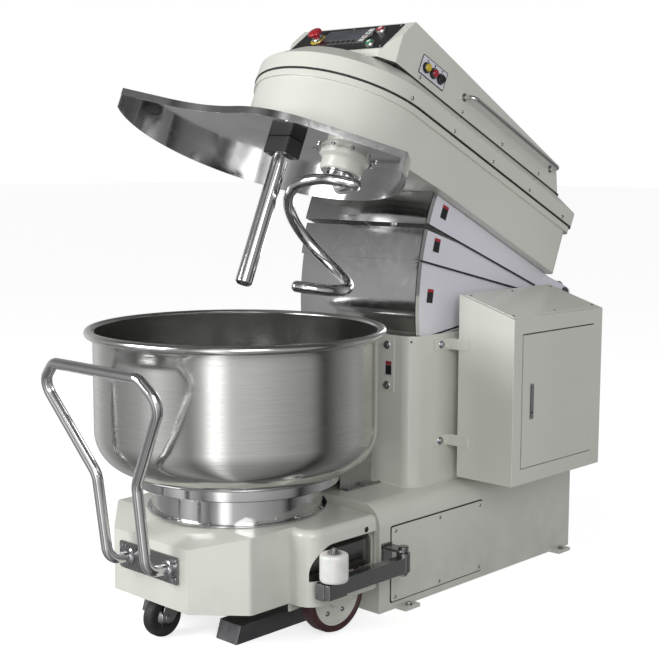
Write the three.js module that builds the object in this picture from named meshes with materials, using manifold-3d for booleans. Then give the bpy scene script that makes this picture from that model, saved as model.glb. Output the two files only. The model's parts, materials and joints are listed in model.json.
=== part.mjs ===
// Spiral dough mixer with a tilting head and a removable bowl on a trolley.
// Millimetres, +Z up. The design frame has the bowl's axis at x = 0, y = 0 and the floor at z = 0,
// the baker stands at -Y and the column is at +Y. The last lines move the origin to the
// middle of the footprint. The head is drawn closed, over the bowl, and is then raised.
import * as THREE from 'three';
import { mergeVertices } from 'three/addons/utils/BufferGeometryUtils.js';
import Module from 'manifold-3d';

// ---------- driving dimensions ----------
const gap = 0.3; // between pieces that touch

const bowlRim = 450; // outer radius of the rolled rim
const bowlWall = 425; // outer radius of the bowl's side
const bowlTop = 880;
const bowlBottom = 457;
const bowlSheet = 4;
const driveRingRadius = 311;
const driveRingBottom = 419;

const deckTop = 335; // top of the trolley's chassis
const skirtBottom = 113; // lower edge of the chassis
const sheet = 6; // wall of the welded casings

const baseHalf = 335;
const baseFront = 275;
const baseRear = 1302;
const baseTop = 338;
const columnHalf = 268;
const columnFront = 500;
const columnRear = 1300;
const columnTop = 823;

const pivotY = 1345; // the shaft that the head tilts on
const pivotZ = 905;
const shaftRadius = 20;
const raisedAngle = THREE.MathUtils.degToRad(22.6);
const middleShare = 0.64; // how far each loose guard follows the head
const lowerShare = 0.4;

const headHalf = 300; // half width of the head's lower body
const noseY = 310; // centre of the head's round front
const headFloor = 960;
const seamAtBowl = 1153.6; // height of the seam above the bowl's axis
const seamSlope = 0.0384; // the seam falls this much towards the rear

const lidRadius = 448;
const lidTop = 957;
const lidSkirt = 60;
const lidSheet = 3;
const lidUnder = lidTop - lidSheet;
const spiralX = 145;
const spiralY = 210;
const barY = 90;
const barRadius = 26;
const toolBottom = 487;
const bigPulley = 105;
const motor = { x: 20, y: 640, radius: 98 };

const cabinet = { x0: 310, x1: 527, y0: 675, y1: 1176, z0: 356, outer: 885, inner: 950 };

const finishes = {
  cream: { color: 0xe4e2d2, roughness: 0.42, metalness: 0.0 },
  whiteSheet: { color: 0xe2e0ea, roughness: 0.4, metalness: 0.0 },
  stainless: { color: 0xc4c4c2, roughness: 0.3, metalness: 1.0 },
  chrome: { color: 0xd8d8d8, roughness: 0.12, metalness: 1.0 },
  darkSteel: { color: 0x45464a, roughness: 0.45, metalness: 0.9 },
  castIron: { color: 0x3c3f42, roughness: 0.6, metalness: 0.6 },
  blackPlastic: { color: 0x17171a, roughness: 0.5, metalness: 0.0 },
  blackRubber: { color: 0x0f0f10, roughness: 0.7, metalness: 0.0 },
  tyre: { color: 0x33181c, roughness: 0.6, metalness: 0.0 },
  nylon: { color: 0xf0efec, roughness: 0.4, metalness: 0.0 },
  glass: { color: 0x2c323c, roughness: 0.12, metalness: 0.0 },
  red: { color: 0xb3202c, roughness: 0.35, metalness: 0.0 },
  green: { color: 0x2c9a5a, roughness: 0.35, metalness: 0.0 },
  yellow: { color: 0xd9be2c, roughness: 0.35, metalness: 0.0 },
};

// ---------- solids and booleans ----------
const wasm = await Module();
wasm.setup();

function signedVolume(geometry) {
  const p = geometry.attributes.position;
  const index = geometry.index;
  const count = index ? index.count : p.count;
  const corner = (i) => new THREE.Vector3().fromBufferAttribute(p, index ? index.getX(i) : i);
  let sum = 0;
  for (let i = 0; i < count; i += 3) {
    sum += corner(i).dot(corner(i + 1).cross(corner(i + 2)));
  }
  return sum / 6;
}

// Shared vertices and outward faces, whatever way the shape was drawn.
function closed(geometry) {
  const plain = geometry.clone();
  plain.deleteAttribute('normal');
  plain.deleteAttribute('uv');
  const merged = mergeVertices(plain, 1e-3);
  if (signedVolume(merged) < 0) {
    const order = merged.index.array;
    for (let i = 0; i < order.length; i += 3) {
      [order[i], order[i + 1]] = [order[i + 1], order[i]];
    }
  }
  return merged;
}

function toSolid(geometry) {
  const merged = closed(geometry);
  const vertProperties = new Float32Array(merged.attributes.position.array);
  const triVerts = new Uint32Array(merged.index.array);
  return new wasm.Manifold(new wasm.Mesh({ numProp: 3, vertProperties, triVerts }));
}

function toGeometry(solid) {
  const mesh = solid.getMesh();
  const geometry = new THREE.BufferGeometry();
  geometry.setAttribute('position', new THREE.BufferAttribute(mesh.vertProperties, 3));
  geometry.setIndex(new THREE.BufferAttribute(mesh.triVerts, 1));
  return geometry;
}

function join(first, ...rest) {
  return toGeometry(rest.reduce((sum, g) => sum.add(toSolid(g)), toSolid(first)));
}

function cut(first, ...rest) {
  return toGeometry(rest.reduce((sum, g) => sum.subtract(toSolid(g)), toSolid(first)));
}

const common = (first, second) => toGeometry(toSolid(first).intersect(toSolid(second)));

// ---------- shapes ----------
// Corner points are [a, b, radius] or [x, y, z, radius]; each radius becomes an arc.
function roundCorners(points, loop, steps = 4) {
  const list = [];
  const count = points.length;
  const at = (i) => {
    const q = points[(i + count) % count];
    return new THREE.Vector3(q.x, q.y, q.z);
  };
  for (let i = 0; i < count; i += 1) {
    const here = at(i);
    const radius = points[i].radius;
    const isEnd = !loop && (i === 0 || i === count - 1);
    if (!radius || isEnd) {
      list.push(here);
      continue;
    }
    const back = at(i - 1).sub(here).normalize();
    const ahead = at(i + 1).sub(here).normalize();
    const half = back.angleTo(ahead) / 2;
    const reach = radius / Math.tan(half);
    const inward = back.clone().add(ahead).normalize();
    const centre = here.clone().addScaledVector(inward, radius / Math.sin(half));
    const from = here.clone().addScaledVector(back, reach).sub(centre);
    const to = here.clone().addScaledVector(ahead, reach).sub(centre);
    const turn = from.angleTo(to);
    for (let s = 0; s <= steps; s += 1) {
      const a = Math.sin((1 - s / steps) * turn) / Math.sin(turn);
      const b = Math.sin((s / steps) * turn) / Math.sin(turn);
      list.push(centre.clone().addScaledVector(from, a).addScaledVector(to, b));
    }
  }
  return list;
}

function outline(points, steps) {
  const corners = points.map(([x, y, radius = 0]) => ({ x, y, z: 0, radius }));
  const all = roundCorners(corners, true, steps);
  const bends = (v, i) => {
    const back = all[(i + all.length - 1) % all.length].clone().sub(v);
    const ahead = all[(i + 1) % all.length].clone().sub(v);
    return back.cross(ahead).length() > 1e-3;
  };
  return new THREE.Shape(all.filter(bends).map((v) => new THREE.Vector2(v.x, v.y)));
}

function extrude(shape, depth) {
  return new THREE.ExtrudeGeometry(shape, { depth, bevelEnabled: false });
}

function prismZ(points, z0, z1, steps) {
  return extrude(outline(points, steps), z1 - z0).translate(0, 0, z0);
}

// points are [y, z]
function prismX(points, x0, x1, steps) {
  const axes = new THREE.Matrix4().makeBasis(
    new THREE.Vector3(0, 1, 0), new THREE.Vector3(0, 0, 1), new THREE.Vector3(1, 0, 0));
  return extrude(outline(points, steps), x1 - x0).applyMatrix4(axes).translate(x0, 0, 0);
}

// points are [x, z]
function prismY(points, y0, y1, steps) {
  const axes = new THREE.Matrix4().makeBasis(
    new THREE.Vector3(1, 0, 0), new THREE.Vector3(0, 0, 1), new THREE.Vector3(0, -1, 0));
  return extrude(outline(points, steps), y1 - y0).applyMatrix4(axes).translate(0, y1, 0);
}

function box(x0, x1, y0, y1, z0, z1) {
  const block = new THREE.BoxGeometry(Math.abs(x1 - x0), y1 - y0, z1 - z0);
  return block.translate((x0 + x1) / 2, (y0 + y1) / 2, (z0 + z1) / 2);
}

// A block with a flat underside whose upper edges are rounded.
function softBlock(points, z0, z1, edge, steps) {
  const settings = { depth: z1 - edge - z0, bevelSize: edge, bevelThickness: edge, bevelOffset: -edge };
  const block = new THREE.ExtrudeGeometry(outline(points, 3), { ...settings, bevelSegments: steps });
  const far = 3000;
  return cut(block.translate(0, 0, z0), box(-far, far, -far, far, z0 - edge - 1, z0));
}

// Profile points are [radius, z].
function turned(profile, sides) {
  const points = profile.map(([r, z]) => new THREE.Vector2(r, z));
  return new THREE.LatheGeometry(points, sides).rotateX(Math.PI / 2);
}

function ring(inner, outer, z0, z1, sides) {
  return turned([[inner, z0], [outer, z0], [outer, z1], [inner, z1], [inner, z0]], sides);
}

function disc(radius, z0, z1, sides) {
  return turned([[0, z0], [radius, z0], [radius, z1], [0, z1]], sides);
}

const alongX = (geometry) => geometry.rotateY(Math.PI / 2);

function mirrored(geometry) {
  return closed(geometry.clone().scale(-1, 1, 1));
}

// A curve that visits its points one step at a time, so that straight stretches cost nothing.
class Route extends THREE.Curve {
  constructor(points) {
    super();
    this.points = points;
  }

  getPoint(t, target = new THREE.Vector3()) {
    const place = t * (this.points.length - 1);
    const i = Math.min(Math.floor(place), this.points.length - 2);
    return target.lerpVectors(this.points[i], this.points[i + 1], place - i);
  }

  getPointAt(u, target) {
    return this.getPoint(u, target);
  }

  getTangentAt(u, target = new THREE.Vector3()) {
    const last = this.points.length - 1;
    const i = Math.round(u * last);
    const before = this.points[Math.max(i - 1, 0)];
    const after = this.points[Math.min(i + 1, last)];
    return target.subVectors(after, before).normalize();
  }
}

function sweep(points, radius, sides) {
  const section = new THREE.Shape().absarc(0, 0, radius, 0, 2 * Math.PI);
  const ringPoints = section.getSpacedPoints(sides).slice(0, sides);
  const settings = { steps: points.length - 1, extrudePath: new Route(points) };
  return new THREE.ExtrudeGeometry(new THREE.Shape(ringPoints), settings);
}

// Corner points are [x, y, z, radius of bend].
function bentTube(points, radius, sides, steps = 5) {
  const corners = points.map(([x, y, z, bend = 0]) => ({ x, y, z, radius: bend }));
  return sweep(roundCorners(corners, false, steps), radius, sides);
}

// ---------- assembly ----------
const mixer = new THREE.Group();

function add(group, name, geometry, finish) {
  const mesh = new THREE.Mesh(closed(geometry), new THREE.MeshStandardMaterial(finishes[finish]));
  mesh.name = name;
  group.add(mesh);
  return mesh;
}

// A group that is drawn closed and turned about the head's pivot.
function raised(angle) {
  const hinge = new THREE.Group();
  hinge.position.set(0, pivotY, pivotZ);
  hinge.rotation.x = -angle;
  const inner = new THREE.Group();
  inner.position.set(0, -pivotY, -pivotZ);
  hinge.add(inner);
  mixer.add(hinge);
  return inner;
}

const bothSides = [['right', (g) => g], ['left', mirrored]];

// ---------- base and column ----------
function makeBase() {
  const shoulder = 71;
  const skin = (half, z0, z1, radius, y0, y1) => prismY(
    [[-half, z0], [half, z0], [half, z1, radius], [-half, z1, radius]], y0, y1, 5);
  let base = cut(
    skin(baseHalf, 0, baseTop, shoulder, baseFront, baseRear),
    skin(baseHalf - sheet, -1, baseTop - sheet, shoulder - sheet, baseFront + sheet, baseRear - sheet));
  const tabs = [];
  for (const side of [-1, 1]) {
    for (const y of [350, 1180]) {
      tabs.push(box(side * (baseHalf - 2), side * (baseHalf + 42), y, y + 70, 0, 12));
    }
  }
  base = join(base, ...tabs, ...armLugs(), liftStand());
  add(mixer, 'base_shell', base, 'cream');

  const panel = prismX([[327, 27, 8], [780, 27, 8], [780, 262, 8], [327, 262, 8]],
    baseHalf + gap, baseHalf + 3, 2);
  bothSides.forEach(([side, turn]) => add(mixer, `access_panel_${side}`, turn(panel), 'cream'));

  // Two bars on the floor that the docked trolley stands astride.
  const rail = prismX([[-203, 0], [baseFront - gap, 0], [baseFront - gap, 55], [-185, 55]], 126, 215);
  bothSides.forEach(([side, turn]) => add(mixer, `dock_rail_${side}`, turn(rail), 'darkSteel'));

  const columnWall = 5;
  const columnPlan = (inset) => {
    const half = columnHalf - inset;
    const [front, rear] = [columnFront + inset, columnRear - inset];
    return [[-half, front, 50 - inset], [half, front, 50 - inset],
      [half, rear, 12 - inset], [-half, rear, 12 - inset]];
  };
  const column = cut(
    prismZ(columnPlan(0), baseTop + gap, columnTop, 5),
    prismZ(columnPlan(columnWall), baseTop - 1, columnTop + 1, 5));
  add(mixer, 'column_shell', column, 'cream');
}

function makePivotBearings() {
  const boss = 40;
  const arm = prismX([[columnRear + gap, 690], [columnRear + 34, 690], [pivotY + boss, pivotZ - 10],
    [pivotY + boss, pivotZ + 12, 20], [pivotY - boss, pivotZ + 12, 20], [columnRear + gap, 830]], 185, 235, 4);
  const round = alongX(disc(boss, 185, 235, 28)).translate(0, pivotY, pivotZ);
  const bore = alongX(disc(shaftRadius + 0.4, 180, 240, 24)).translate(0, pivotY, pivotZ);
  const bearing = cut(join(arm, round), bore);
  bothSides.forEach(([side, turn]) => add(mixer, `pivot_bearing_${side}`, turn(bearing), 'castIron'));
}

// ---------- bowl drive on the base ----------
const driveWheelRadius = 70;
const driveWheelY = driveRingRadius + driveWheelRadius + 1;

function makeBowlDrive() {
  const half = 118;
  const rear = 476;
  const floor = baseTop + gap;
  const walls = box(-half, half, 330, rear, floor, 456);
  const inside = box(-half + 4, half - 4, 320, rear - 4, floor - 1, 452);
  const belly = disc(driveRingRadius + 22, 400, 500, 56);
  add(mixer, 'drive_guard', cut(walls, inside, belly), 'stainless');

  const gearbox = join(
    disc(52, floor, 398, 28).translate(0, driveWheelY, 0),
    box(-46, 46, driveWheelY - 40, driveWheelY + 66, floor, 372));
  add(mixer, 'drive_gearbox', gearbox, 'castIron');
  const wheel = turned([[0, 399], [14, 399], [14, 426], [driveWheelRadius, 426],
    [driveWheelRadius, 448], [0, 448]], 32).translate(0, driveWheelY, 0);
  add(mixer, 'drive_wheel', wheel, 'blackRubber');

  const pump = join(
    box(-210, 40, 820, 1080, sheet + 6, 190),
    alongX(disc(75, 39, 270, 28)).translate(0, 950, 105));
  add(mixer, 'hydraulic_unit', pump, 'castIron');
}

// ---------- trolley ----------
const fenderFront = -74;
const fenderRear = 218;
const fenderHalf = 385;
const wheelRadius = 113;
const wheelX = 322;
const wheelY = 80;
const casterY = -250;
const casterTrail = 46;
const casterRadius = 60;
const rollerX = fenderHalf + 43;
const rollerY = -25;

function makeChassis() {
  const nose = (inset) => [
    [-300 + inset, -222 + inset * 0.4], [-165 + inset * 0.4, -340 + inset],
    [165 - inset * 0.4, -340 + inset], [300 - inset, -222 + inset * 0.4],
    [300 - inset, 205 - inset], [-300 + inset, 205 - inset]];
  const outerNose = softBlock(nose(0).map(([x, y]) => [x, y, y < -60 ? 18 : 0]), skirtBottom, deckTop, 10, 2);
  const fenderInner = 240;
  const frontCorner = 60;
  const fender = softBlock([[fenderInner, fenderFront], [fenderHalf, fenderFront, frontCorner],
    [fenderHalf, fenderRear, 26], [fenderInner, fenderRear]], skirtBottom, deckTop, 22, 3);
  const fall = prismX([[-360, 290], [-215, deckTop + 1], [-215, 400], [-360, 400]], -400, 400);
  const outside = join(cut(outerNose, fall), fender, mirrored(fender));

  const room = prismZ(nose(sheet), skirtBottom - 1, deckTop - sheet);
  const roomFall = prismX([[-360, 283], [-215, deckTop - sheet], [-215, 400], [-360, 400]], -400, 400);
  const wellInner = 296;
  const wellTop = deckTop - 24;
  const wellOuter = fenderHalf - sheet;
  const well = prismZ([[wellInner, fenderFront + sheet], [wellOuter, fenderFront + sheet, frontCorner - sheet],
    [wellOuter, fenderRear - sheet, 20], [wellInner, fenderRear - sheet]], skirtBottom - 1, wellTop, 4);
  // The window that the arm's roller reaches into, with an upright plate between it and the wheel.
  const sill = 187;
  const window = prismX([[-60, sill], [208, sill], [208, 288], [-60, 288, 80]], wellOuter - 22, fenderHalf + 1, 6);
  const plateFace = 355;
  const wheelPlate = box(plateFace - 4, plateFace, -62, fenderRear - 4, sill - 5, wellTop + 1);
  const holes = [well, mirrored(well), window, mirrored(window)];
  const shell = cut(outside, cut(room, roomFall), ...holes);

  const plate = box(-96, 96, -335, -160, 178, 184);
  const aboveRoof = prismX([[-360, 286], [-215, 332], [-215, 400], [-360, 400]], -400, 400);
  const rib = cut(box(92, 100, -335, 199.5, 176, 330), aboveRoof);
  const wellWall = box(284, 291, -66, 200, 84, 331);
  const stub = alongX(disc(15, 286, 352, 20)).translate(0, wheelY, wheelRadius);
  const inner = [wellWall, stub, wheelPlate].flatMap((g) => [g, mirrored(g)]);
  return join(shell, plate, rib, mirrored(rib), ...inner);
}

function makeTrolley() {
  const trolley = new THREE.Group();
  mixer.add(trolley);
  add(trolley, 'trolley_chassis', makeChassis(), 'cream');

  const wheelSection = [[15.6, -24], [60, -22], [wheelRadius - 14, -13], [wheelRadius - 10, -25],
    [wheelRadius, -18], [wheelRadius, 18], [wheelRadius - 10, 25], [wheelRadius - 14, 13],
    [60, 22], [15.6, 24], [15.6, -24]];
  const wheel = alongX(turned(wheelSection, 28)).translate(wheelX, wheelY, wheelRadius);
  bothSides.forEach(([side, turn]) => add(trolley, `trolley_wheel_${side}`, turn(wheel), 'tyre'));

  // Front caster, its wheel trailing to the front.
  const caster = new THREE.Group();
  caster.position.set(0, casterY, 0);
  trolley.add(caster);
  const fork = join(
    disc(46, 168, 178 - gap, 28),
    box(-30, 30, -casterTrail, 30, 150, 169),
    box(-30, -24, -casterTrail - 20, 26, 48, 160),
    box(24, 30, -casterTrail - 20, 26, 48, 160));
  const axle = alongX(disc(6, -34, 34, 12)).translate(0, -casterTrail, casterRadius);
  add(caster, 'caster_fork', join(fork, axle), 'darkSteel');
  const casterSection = [[6.5, -21], [30, -21], [casterRadius - 5, -18], [casterRadius, -12],
    [casterRadius, 12], [casterRadius - 5, 18], [30, 21], [6.5, 21], [6.5, -21]];
  const casterWheel = alongX(turned(casterSection, 24)).translate(0, -casterTrail, casterRadius);
  add(caster, 'caster_wheel', casterWheel, 'blackRubber');

  // Push handle on its plate.
  const face = -340 - gap;
  const plate = prismY([[-131, 190, 8], [131, 190, 8], [131, 270, 8], [-131, 270, 8]], face - 6, face, 2);
  const legs = [[87, face - 4, 229], [87, -420, 236, 46], [90, -452, 490, 60],
    [262, -506, 742, 48], [190, -521, 804, 46]];
  const route = [...legs, ...legs.map(([x, ...rest]) => [-x, ...rest]).reverse()];
  add(trolley, 'push_handle', join(bentTube(route, 16, 10, 4), plate), 'chrome');

  // Bearing tower for the bowl.
  add(trolley, 'bowl_stand', ring(244, 258, deckTop + gap, driveRingBottom - gap, 40), 'stainless');
  add(trolley, 'bowl_spindle', turned([[0, deckTop + gap], [90, deckTop + gap], [90, 352], [44, 362],
    [44, bowlBottom - gap], [0, bowlBottom - gap]], 24), 'darkSteel');

  add(trolley, 'bowl', makeBowl(), 'stainless');
  add(trolley, 'bowl_drive_ring',
    ring(236, driveRingRadius, driveRingBottom, bowlBottom - gap, 40), 'stainless');
}

function makeBowl() {
  const corner = 120;
  const arc = (radius, steps) => {
    const list = [];
    for (let i = 0; i <= steps; i += 1) {
      const a = (i / steps) * Math.PI / 2;
      list.push([bowlWall - corner + radius * Math.sin(a), bowlBottom + corner - radius * Math.cos(a)]);
    }
    return list;
  };
  const bead = 12.5;
  const beadArc = [];
  for (let i = 0; i <= 5; i += 1) {
    const a = -Math.PI * 0.75 + (i / 5) * Math.PI * 1.65;
    beadArc.push([bowlRim - bead + bead * Math.cos(a), bowlTop - bead + bead * Math.sin(a)]);
  }
  return turned([[0, bowlBottom], ...arc(corner, 4), ...beadArc,
    ...arc(corner - bowlSheet, 4).reverse(), [0, bowlBottom + bowlSheet]], 40);
}

// ---------- arms that hold the trolley ----------
const hinge = { x: 405, y: 302 };

// The lugs and pins that the arms turn on, welded to the base.
function armLugs() {
  const lug = (z0, z1) => prismZ([[baseHalf - 2, hinge.y - 21], [hinge.x, hinge.y - 21, 14],
    [hinge.x + 23, hinge.y, 20], [hinge.x, hinge.y + 21, 14], [baseHalf - 2, hinge.y + 21]], z0, z1, 2);
  const web = box(baseHalf - 2, baseHalf + 8, hinge.y - 21, hinge.y + 21, 130, 220);
  const pin = disc(10, 135, 216, 16).translate(hinge.x, hinge.y, 0);
  const bracket = join(lug(136, 144), lug(206, 214), web, pin);
  return [bracket, mirrored(bracket)];
}

function makeDockArms() {
  const eye = disc(21, 146, 204, 20).translate(hinge.x, hinge.y, 0);
  const barRear = hinge.y - 4;
  const bar = prismX([[-66, 146], [barRear, 146], [barRear, 194], [-66, 194]], hinge.x - 12, hinge.x + 22);
  const bore = disc(10.4, 140, 210, 16).translate(hinge.x, hinge.y, 0);
  const rollerPin = disc(9, 193, 292, 14).translate(rollerX, rollerY, 0);
  const foot = box(hinge.x - 10, rollerX + 18, -62, 12, 150, 194);
  const arm = cut(join(eye, bar, foot, rollerPin), bore);
  const rollerSection = [[9.4, 197], [36, 197], [41, 202], [41, 273], [36, 278], [9.4, 278], [9.4, 197]];
  const roller = turned(rollerSection, 24).translate(rollerX, rollerY, 0);
  bothSides.forEach(([side, turn]) => {
    add(mixer, `dock_arm_${side}`, turn(arm), 'stainless');
    add(mixer, `dock_roller_${side}`, turn(roller), 'nylon');
  });
}

// ---------- electrical cabinet ----------
function makeCabinet() {
  const c = cabinet;
  const wall = 4;
  const shape = (inset) => [[c.x0 + inset, c.z0 + inset], [c.x1 - inset, c.z0 + inset],
    [c.x1 - inset, c.outer - inset], [c.x0 + inset, c.inner - inset]];
  const door = { y0: 722, y1: 1127, z0: 406, z1: 836 };
  const opening = box(c.x1 - 20, c.x1 + 10, door.y0, door.y1, door.z0, door.z1);
  const casing = cut(prismY(shape(0), c.y0, c.y1), prismY(shape(wall), c.y0 + wall, c.y1 - wall), opening);
  const brackets = [457, 770].flatMap((z) => [
    box(columnHalf + gap, columnHalf + 5, c.y0 - 70, c.y0 + 2, z, z + 36),
    box(columnHalf + gap, c.x0 + 45, c.y0 - 4, c.y0 + 1, z, z + 36)]);
  add(mixer, 'cabinet_box', join(casing, ...brackets), 'cream');

  const stack = [box(c.x0 + wall + gap, c.x0 + 12, 720, 1130, 400, 850)];
  for (let row = 0; row < 3; row += 1) {
    for (let column = 0; column < 3; column += 1) {
      const y = 750 + column * 125;
      const z = 430 + row * 140;
      stack.push(box(c.x0 + 11, c.x0 + 90, y, y + 90, z, z + 100));
    }
  }
  add(mixer, 'control_gear', join(...stack), 'blackPlastic');

  const doorGeometry = cut(
    prismX([[door.y0 + 2, door.z0 + 2], [door.y1 - 2, door.z0 + 2], [door.y1 - 2, door.z1 - 2],
      [door.y0 + 2, door.z1 - 2]], c.x1 - 3, c.x1 + 2),
    box(c.x1 - 1.5, c.x1 + 5, 765, 779, 566, 672));
  add(mixer, 'cabinet_door', doorGeometry, 'cream');
  const latch = prismX([[766, 568, 3], [778, 568, 3], [778, 670, 3], [766, 670, 3]],
    c.x1 - 1.2, c.x1 + 5, 2);
  add(mixer, 'cabinet_latch', latch, 'chrome');
}

// ---------- head ----------
const seamAngle = Math.atan(seamSlope);
const onSeam = (geometry) => geometry.rotateX(-seamAngle).translate(0, 0, seamAtBowl);
const seamHeight = (y) => seamAtBowl - seamSlope * y;

function headPlan(half, rear, corner) {
  const points = [];
  const steps = 20;
  for (let i = 0; i <= steps; i += 1) {
    const a = Math.PI + (i / steps) * Math.PI;
    points.push([half * Math.cos(a), noseY + half * Math.sin(a)]);
  }
  points.push([half, rear, corner], [-half, rear, corner]);
  return points;
}

const bodyRear = 1209;
const headWall = 5;

function makeHeadBody() {
  const tall = (half, rear, corner) => prismZ(headPlan(half, rear, corner), 800, 1300, 4);
  const side = (floor, rear, top) => prismX([[-100, floor], [520, floor], [rear, floor - 33],
    [rear, seamHeight(rear) + top], [-100, seamHeight(-100) + top]], -400, 400);
  const outer = common(tall(headHalf, bodyRear, 25), side(headFloor, bodyRear + 1, -3));
  const lip = onSeam(prismZ(headPlan(headHalf + 6, bodyRear + 20, 28), -24, -3, 4));
  const inner = common(tall(headHalf - headWall, bodyRear - headWall, 20), side(headFloor + 6, bodyRear, 40));
  const lug = prismX([[1150, 945], [1190, 1060], [1300, 985], [pivotY + 30, pivotZ + 30, 25],
    [pivotY + 38, pivotZ - 30, 25], [pivotY - 20, pivotZ - 40, 20], [1215, 922], [1180, 932]], 120, 165, 4);
  const bore = alongX(disc(shaftRadius + gap, -200, 200, 24)).translate(0, pivotY, pivotZ);
  const housingHole = disc(80, 900, 1000, 36).translate(spiralX, spiralY, 0);
  const shell = cut(join(outer, lip), inner);
  return cut(join(shell, lug, mirrored(lug), ...liftLugs()), bore, housingHole);
}

// The bonnet: an upright band, a sloping shoulder and a flat top.
const bonnet = { band: 53, rise: 52, run: 65, rear: 1234 };

function makeBonnet() {
  const bell = (half, rear, lift) => {
    const bevel = { bevelSize: bonnet.run, bevelThickness: bonnet.rise, bevelSegments: 1 };
    const shape = outline(headPlan(half - bonnet.run, rear - bonnet.run, 12), 3);
    return new THREE.ExtrudeGeometry(shape, { depth: bonnet.band, ...bevel }).translate(0, 0, lift);
  };
  const far = 2000;
  const below = box(-far, far, -far, far, -200, 3);
  const cableHole = box(-150, 150, 400, 900, 60, 200);
  const outside = bell(headHalf + 8, bonnet.rear, 0);
  const inside = bell(headHalf + 3, bonnet.rear - headWall, -headWall);
  return onSeam(cut(outside, inside, below, cableHole));
}

// The cover: an upright foot, a sloping front that carries the controls, and a roof that falls to the rear.
const cover = { half: 240, chamfer: 43, front: 170, slopeRun: 80, slopeLow: 1285, slopeTop: 1412, rear: 1188 };

function makeCover() {
  const foot = (y) => seamHeight(y) + bonnet.band + bonnet.rise + gap;
  const side = (inset) => [
    [cover.front + inset, foot(cover.front) - inset * 20], [cover.front + inset, cover.slopeLow],
    [cover.front + cover.slopeRun + inset, cover.slopeTop - inset, 8],
    [cover.rear - 55 - inset, 1314 - inset, 12],
    [cover.rear - inset, foot(cover.rear) - inset * 20]];
  const plan = (inset) => {
    const half = cover.half - inset;
    const front = cover.front - 0.5 + inset;
    const c = cover.chamfer;
    const back = cover.rear + 112;
    return [[-half + c, front], [half - c, front], [half, front + c],
      [half, back], [-half, back], [-half, front + c]];
  };
  const solid = (inset) => common(prismX(side(inset), -260, 260, 3), prismZ(plan(inset), 1100, 1500));
  return cut(solid(0), solid(4));
}

function makeHeadCasing(head) {
  add(head, 'head_body', makeHeadBody(), 'cream');
  const gasket = cut(
    prismZ(headPlan(headHalf + 9, bonnet.rear + 1, 28), -3 + gap, 3 - gap, 4),
    prismZ(headPlan(headHalf - 8, bodyRear - 8, 20), -4, 4, 4));
  add(head, 'head_seal', onSeam(gasket), 'blackRubber');
  add(head, 'head_bonnet', makeBonnet(), 'cream');
  add(head, 'head_cover', makeCover(), 'cream');
  const shaft = alongX(disc(shaftRadius, -266, 266, 24)).translate(0, pivotY, pivotZ);
  add(head, 'pivot_shaft', shaft, 'darkSteel');

  const railEnds = [[cover.half + gap, 562, 1303], [279, 562, 1303, 16], [279, 1105, 1281, 16],
    [cover.half + gap, 1105, 1281]];
  const rail = bentTube(railEnds, 7.5, 8, 3);
  bothSides.forEach(([side, turn]) => add(head, `grab_rail_${side}`, turn(rail), 'chrome'));
}

// ---------- control panel on the cover's sloping front ----------
const buttonTravel = 3;

function pushButton(radius, capBottom, capTop) {
  const foot = buttonTravel + gap;
  return turned([[0, foot], [radius * 0.6, foot], [radius * 0.6, capBottom], [radius, capBottom],
    [radius, capTop], [0, capTop]], 14);
}

function makeControls(head) {
  const slope = Math.atan2(cover.slopeTop - cover.slopeLow, cover.slopeRun);
  const panel = new THREE.Group();
  panel.position.set(0, cover.front + cover.slopeRun / 2, (cover.slopeTop + cover.slopeLow) / 2);
  panel.rotation.x = slope;
  head.add(panel);
  const face = gap + 3;
  add(panel, 'control_panel', prismZ([[-205, -71, 3], [205, -71, 3], [205, 62, 3], [-205, 62, 3]],
    gap, face, 2), 'blackPlastic');
  const screen = cut(
    prismZ([[-90, -42, 4], [112, -42, 4], [112, 40, 4], [-90, 40, 4]], face + gap, face + 5, 2),
    box(-80, 74, -14, 32, face + 3.5, face + 9));
  add(panel, 'display_unit', screen, 'glass');

  const mushroom = turned([[0, 2], [10, 2], [10, 10], [23, 20], [23, 27], [16, 32], [0, 34]], 20);
  add(panel, 'emergency_stop', mushroom.translate(-118, 2, face + 3.5), 'red');
  add(panel, 'start_button', pushButton(11, 6, 13).translate(144, -50, face), 'green');
  add(panel, 'stop_button', pushButton(11, 6, 13).translate(134, 28, face), 'red');

  // Side button plate for tilting the head, on the cover's right side.
  const side = new THREE.Group();
  side.position.set(cover.half, 385, 1306);
  side.rotation.set(-seamAngle, 0, 0);
  head.add(side);
  const plate = new THREE.Group();
  plate.rotation.set(Math.PI / 2, Math.PI / 2, 0);
  side.add(plate);
  add(plate, 'side_button_plate',
    prismZ([[-66, -31, 3], [66, -31, 3], [66, 31, 3], [-66, 31, 3]], gap, 2.5, 2), 'whiteSheet');
  const buttons = [
    ['head_up_button', -38, 'yellow'],
    ['side_stop_button', 0, 'red'],
    ['head_down_button', 38, 'blackPlastic'],
  ];
  buttons.forEach(([name, u, finish]) => {
    add(plate, name, pushButton(12, 7, 15).translate(u, -3, 2.5), finish);
  });
}

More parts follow.
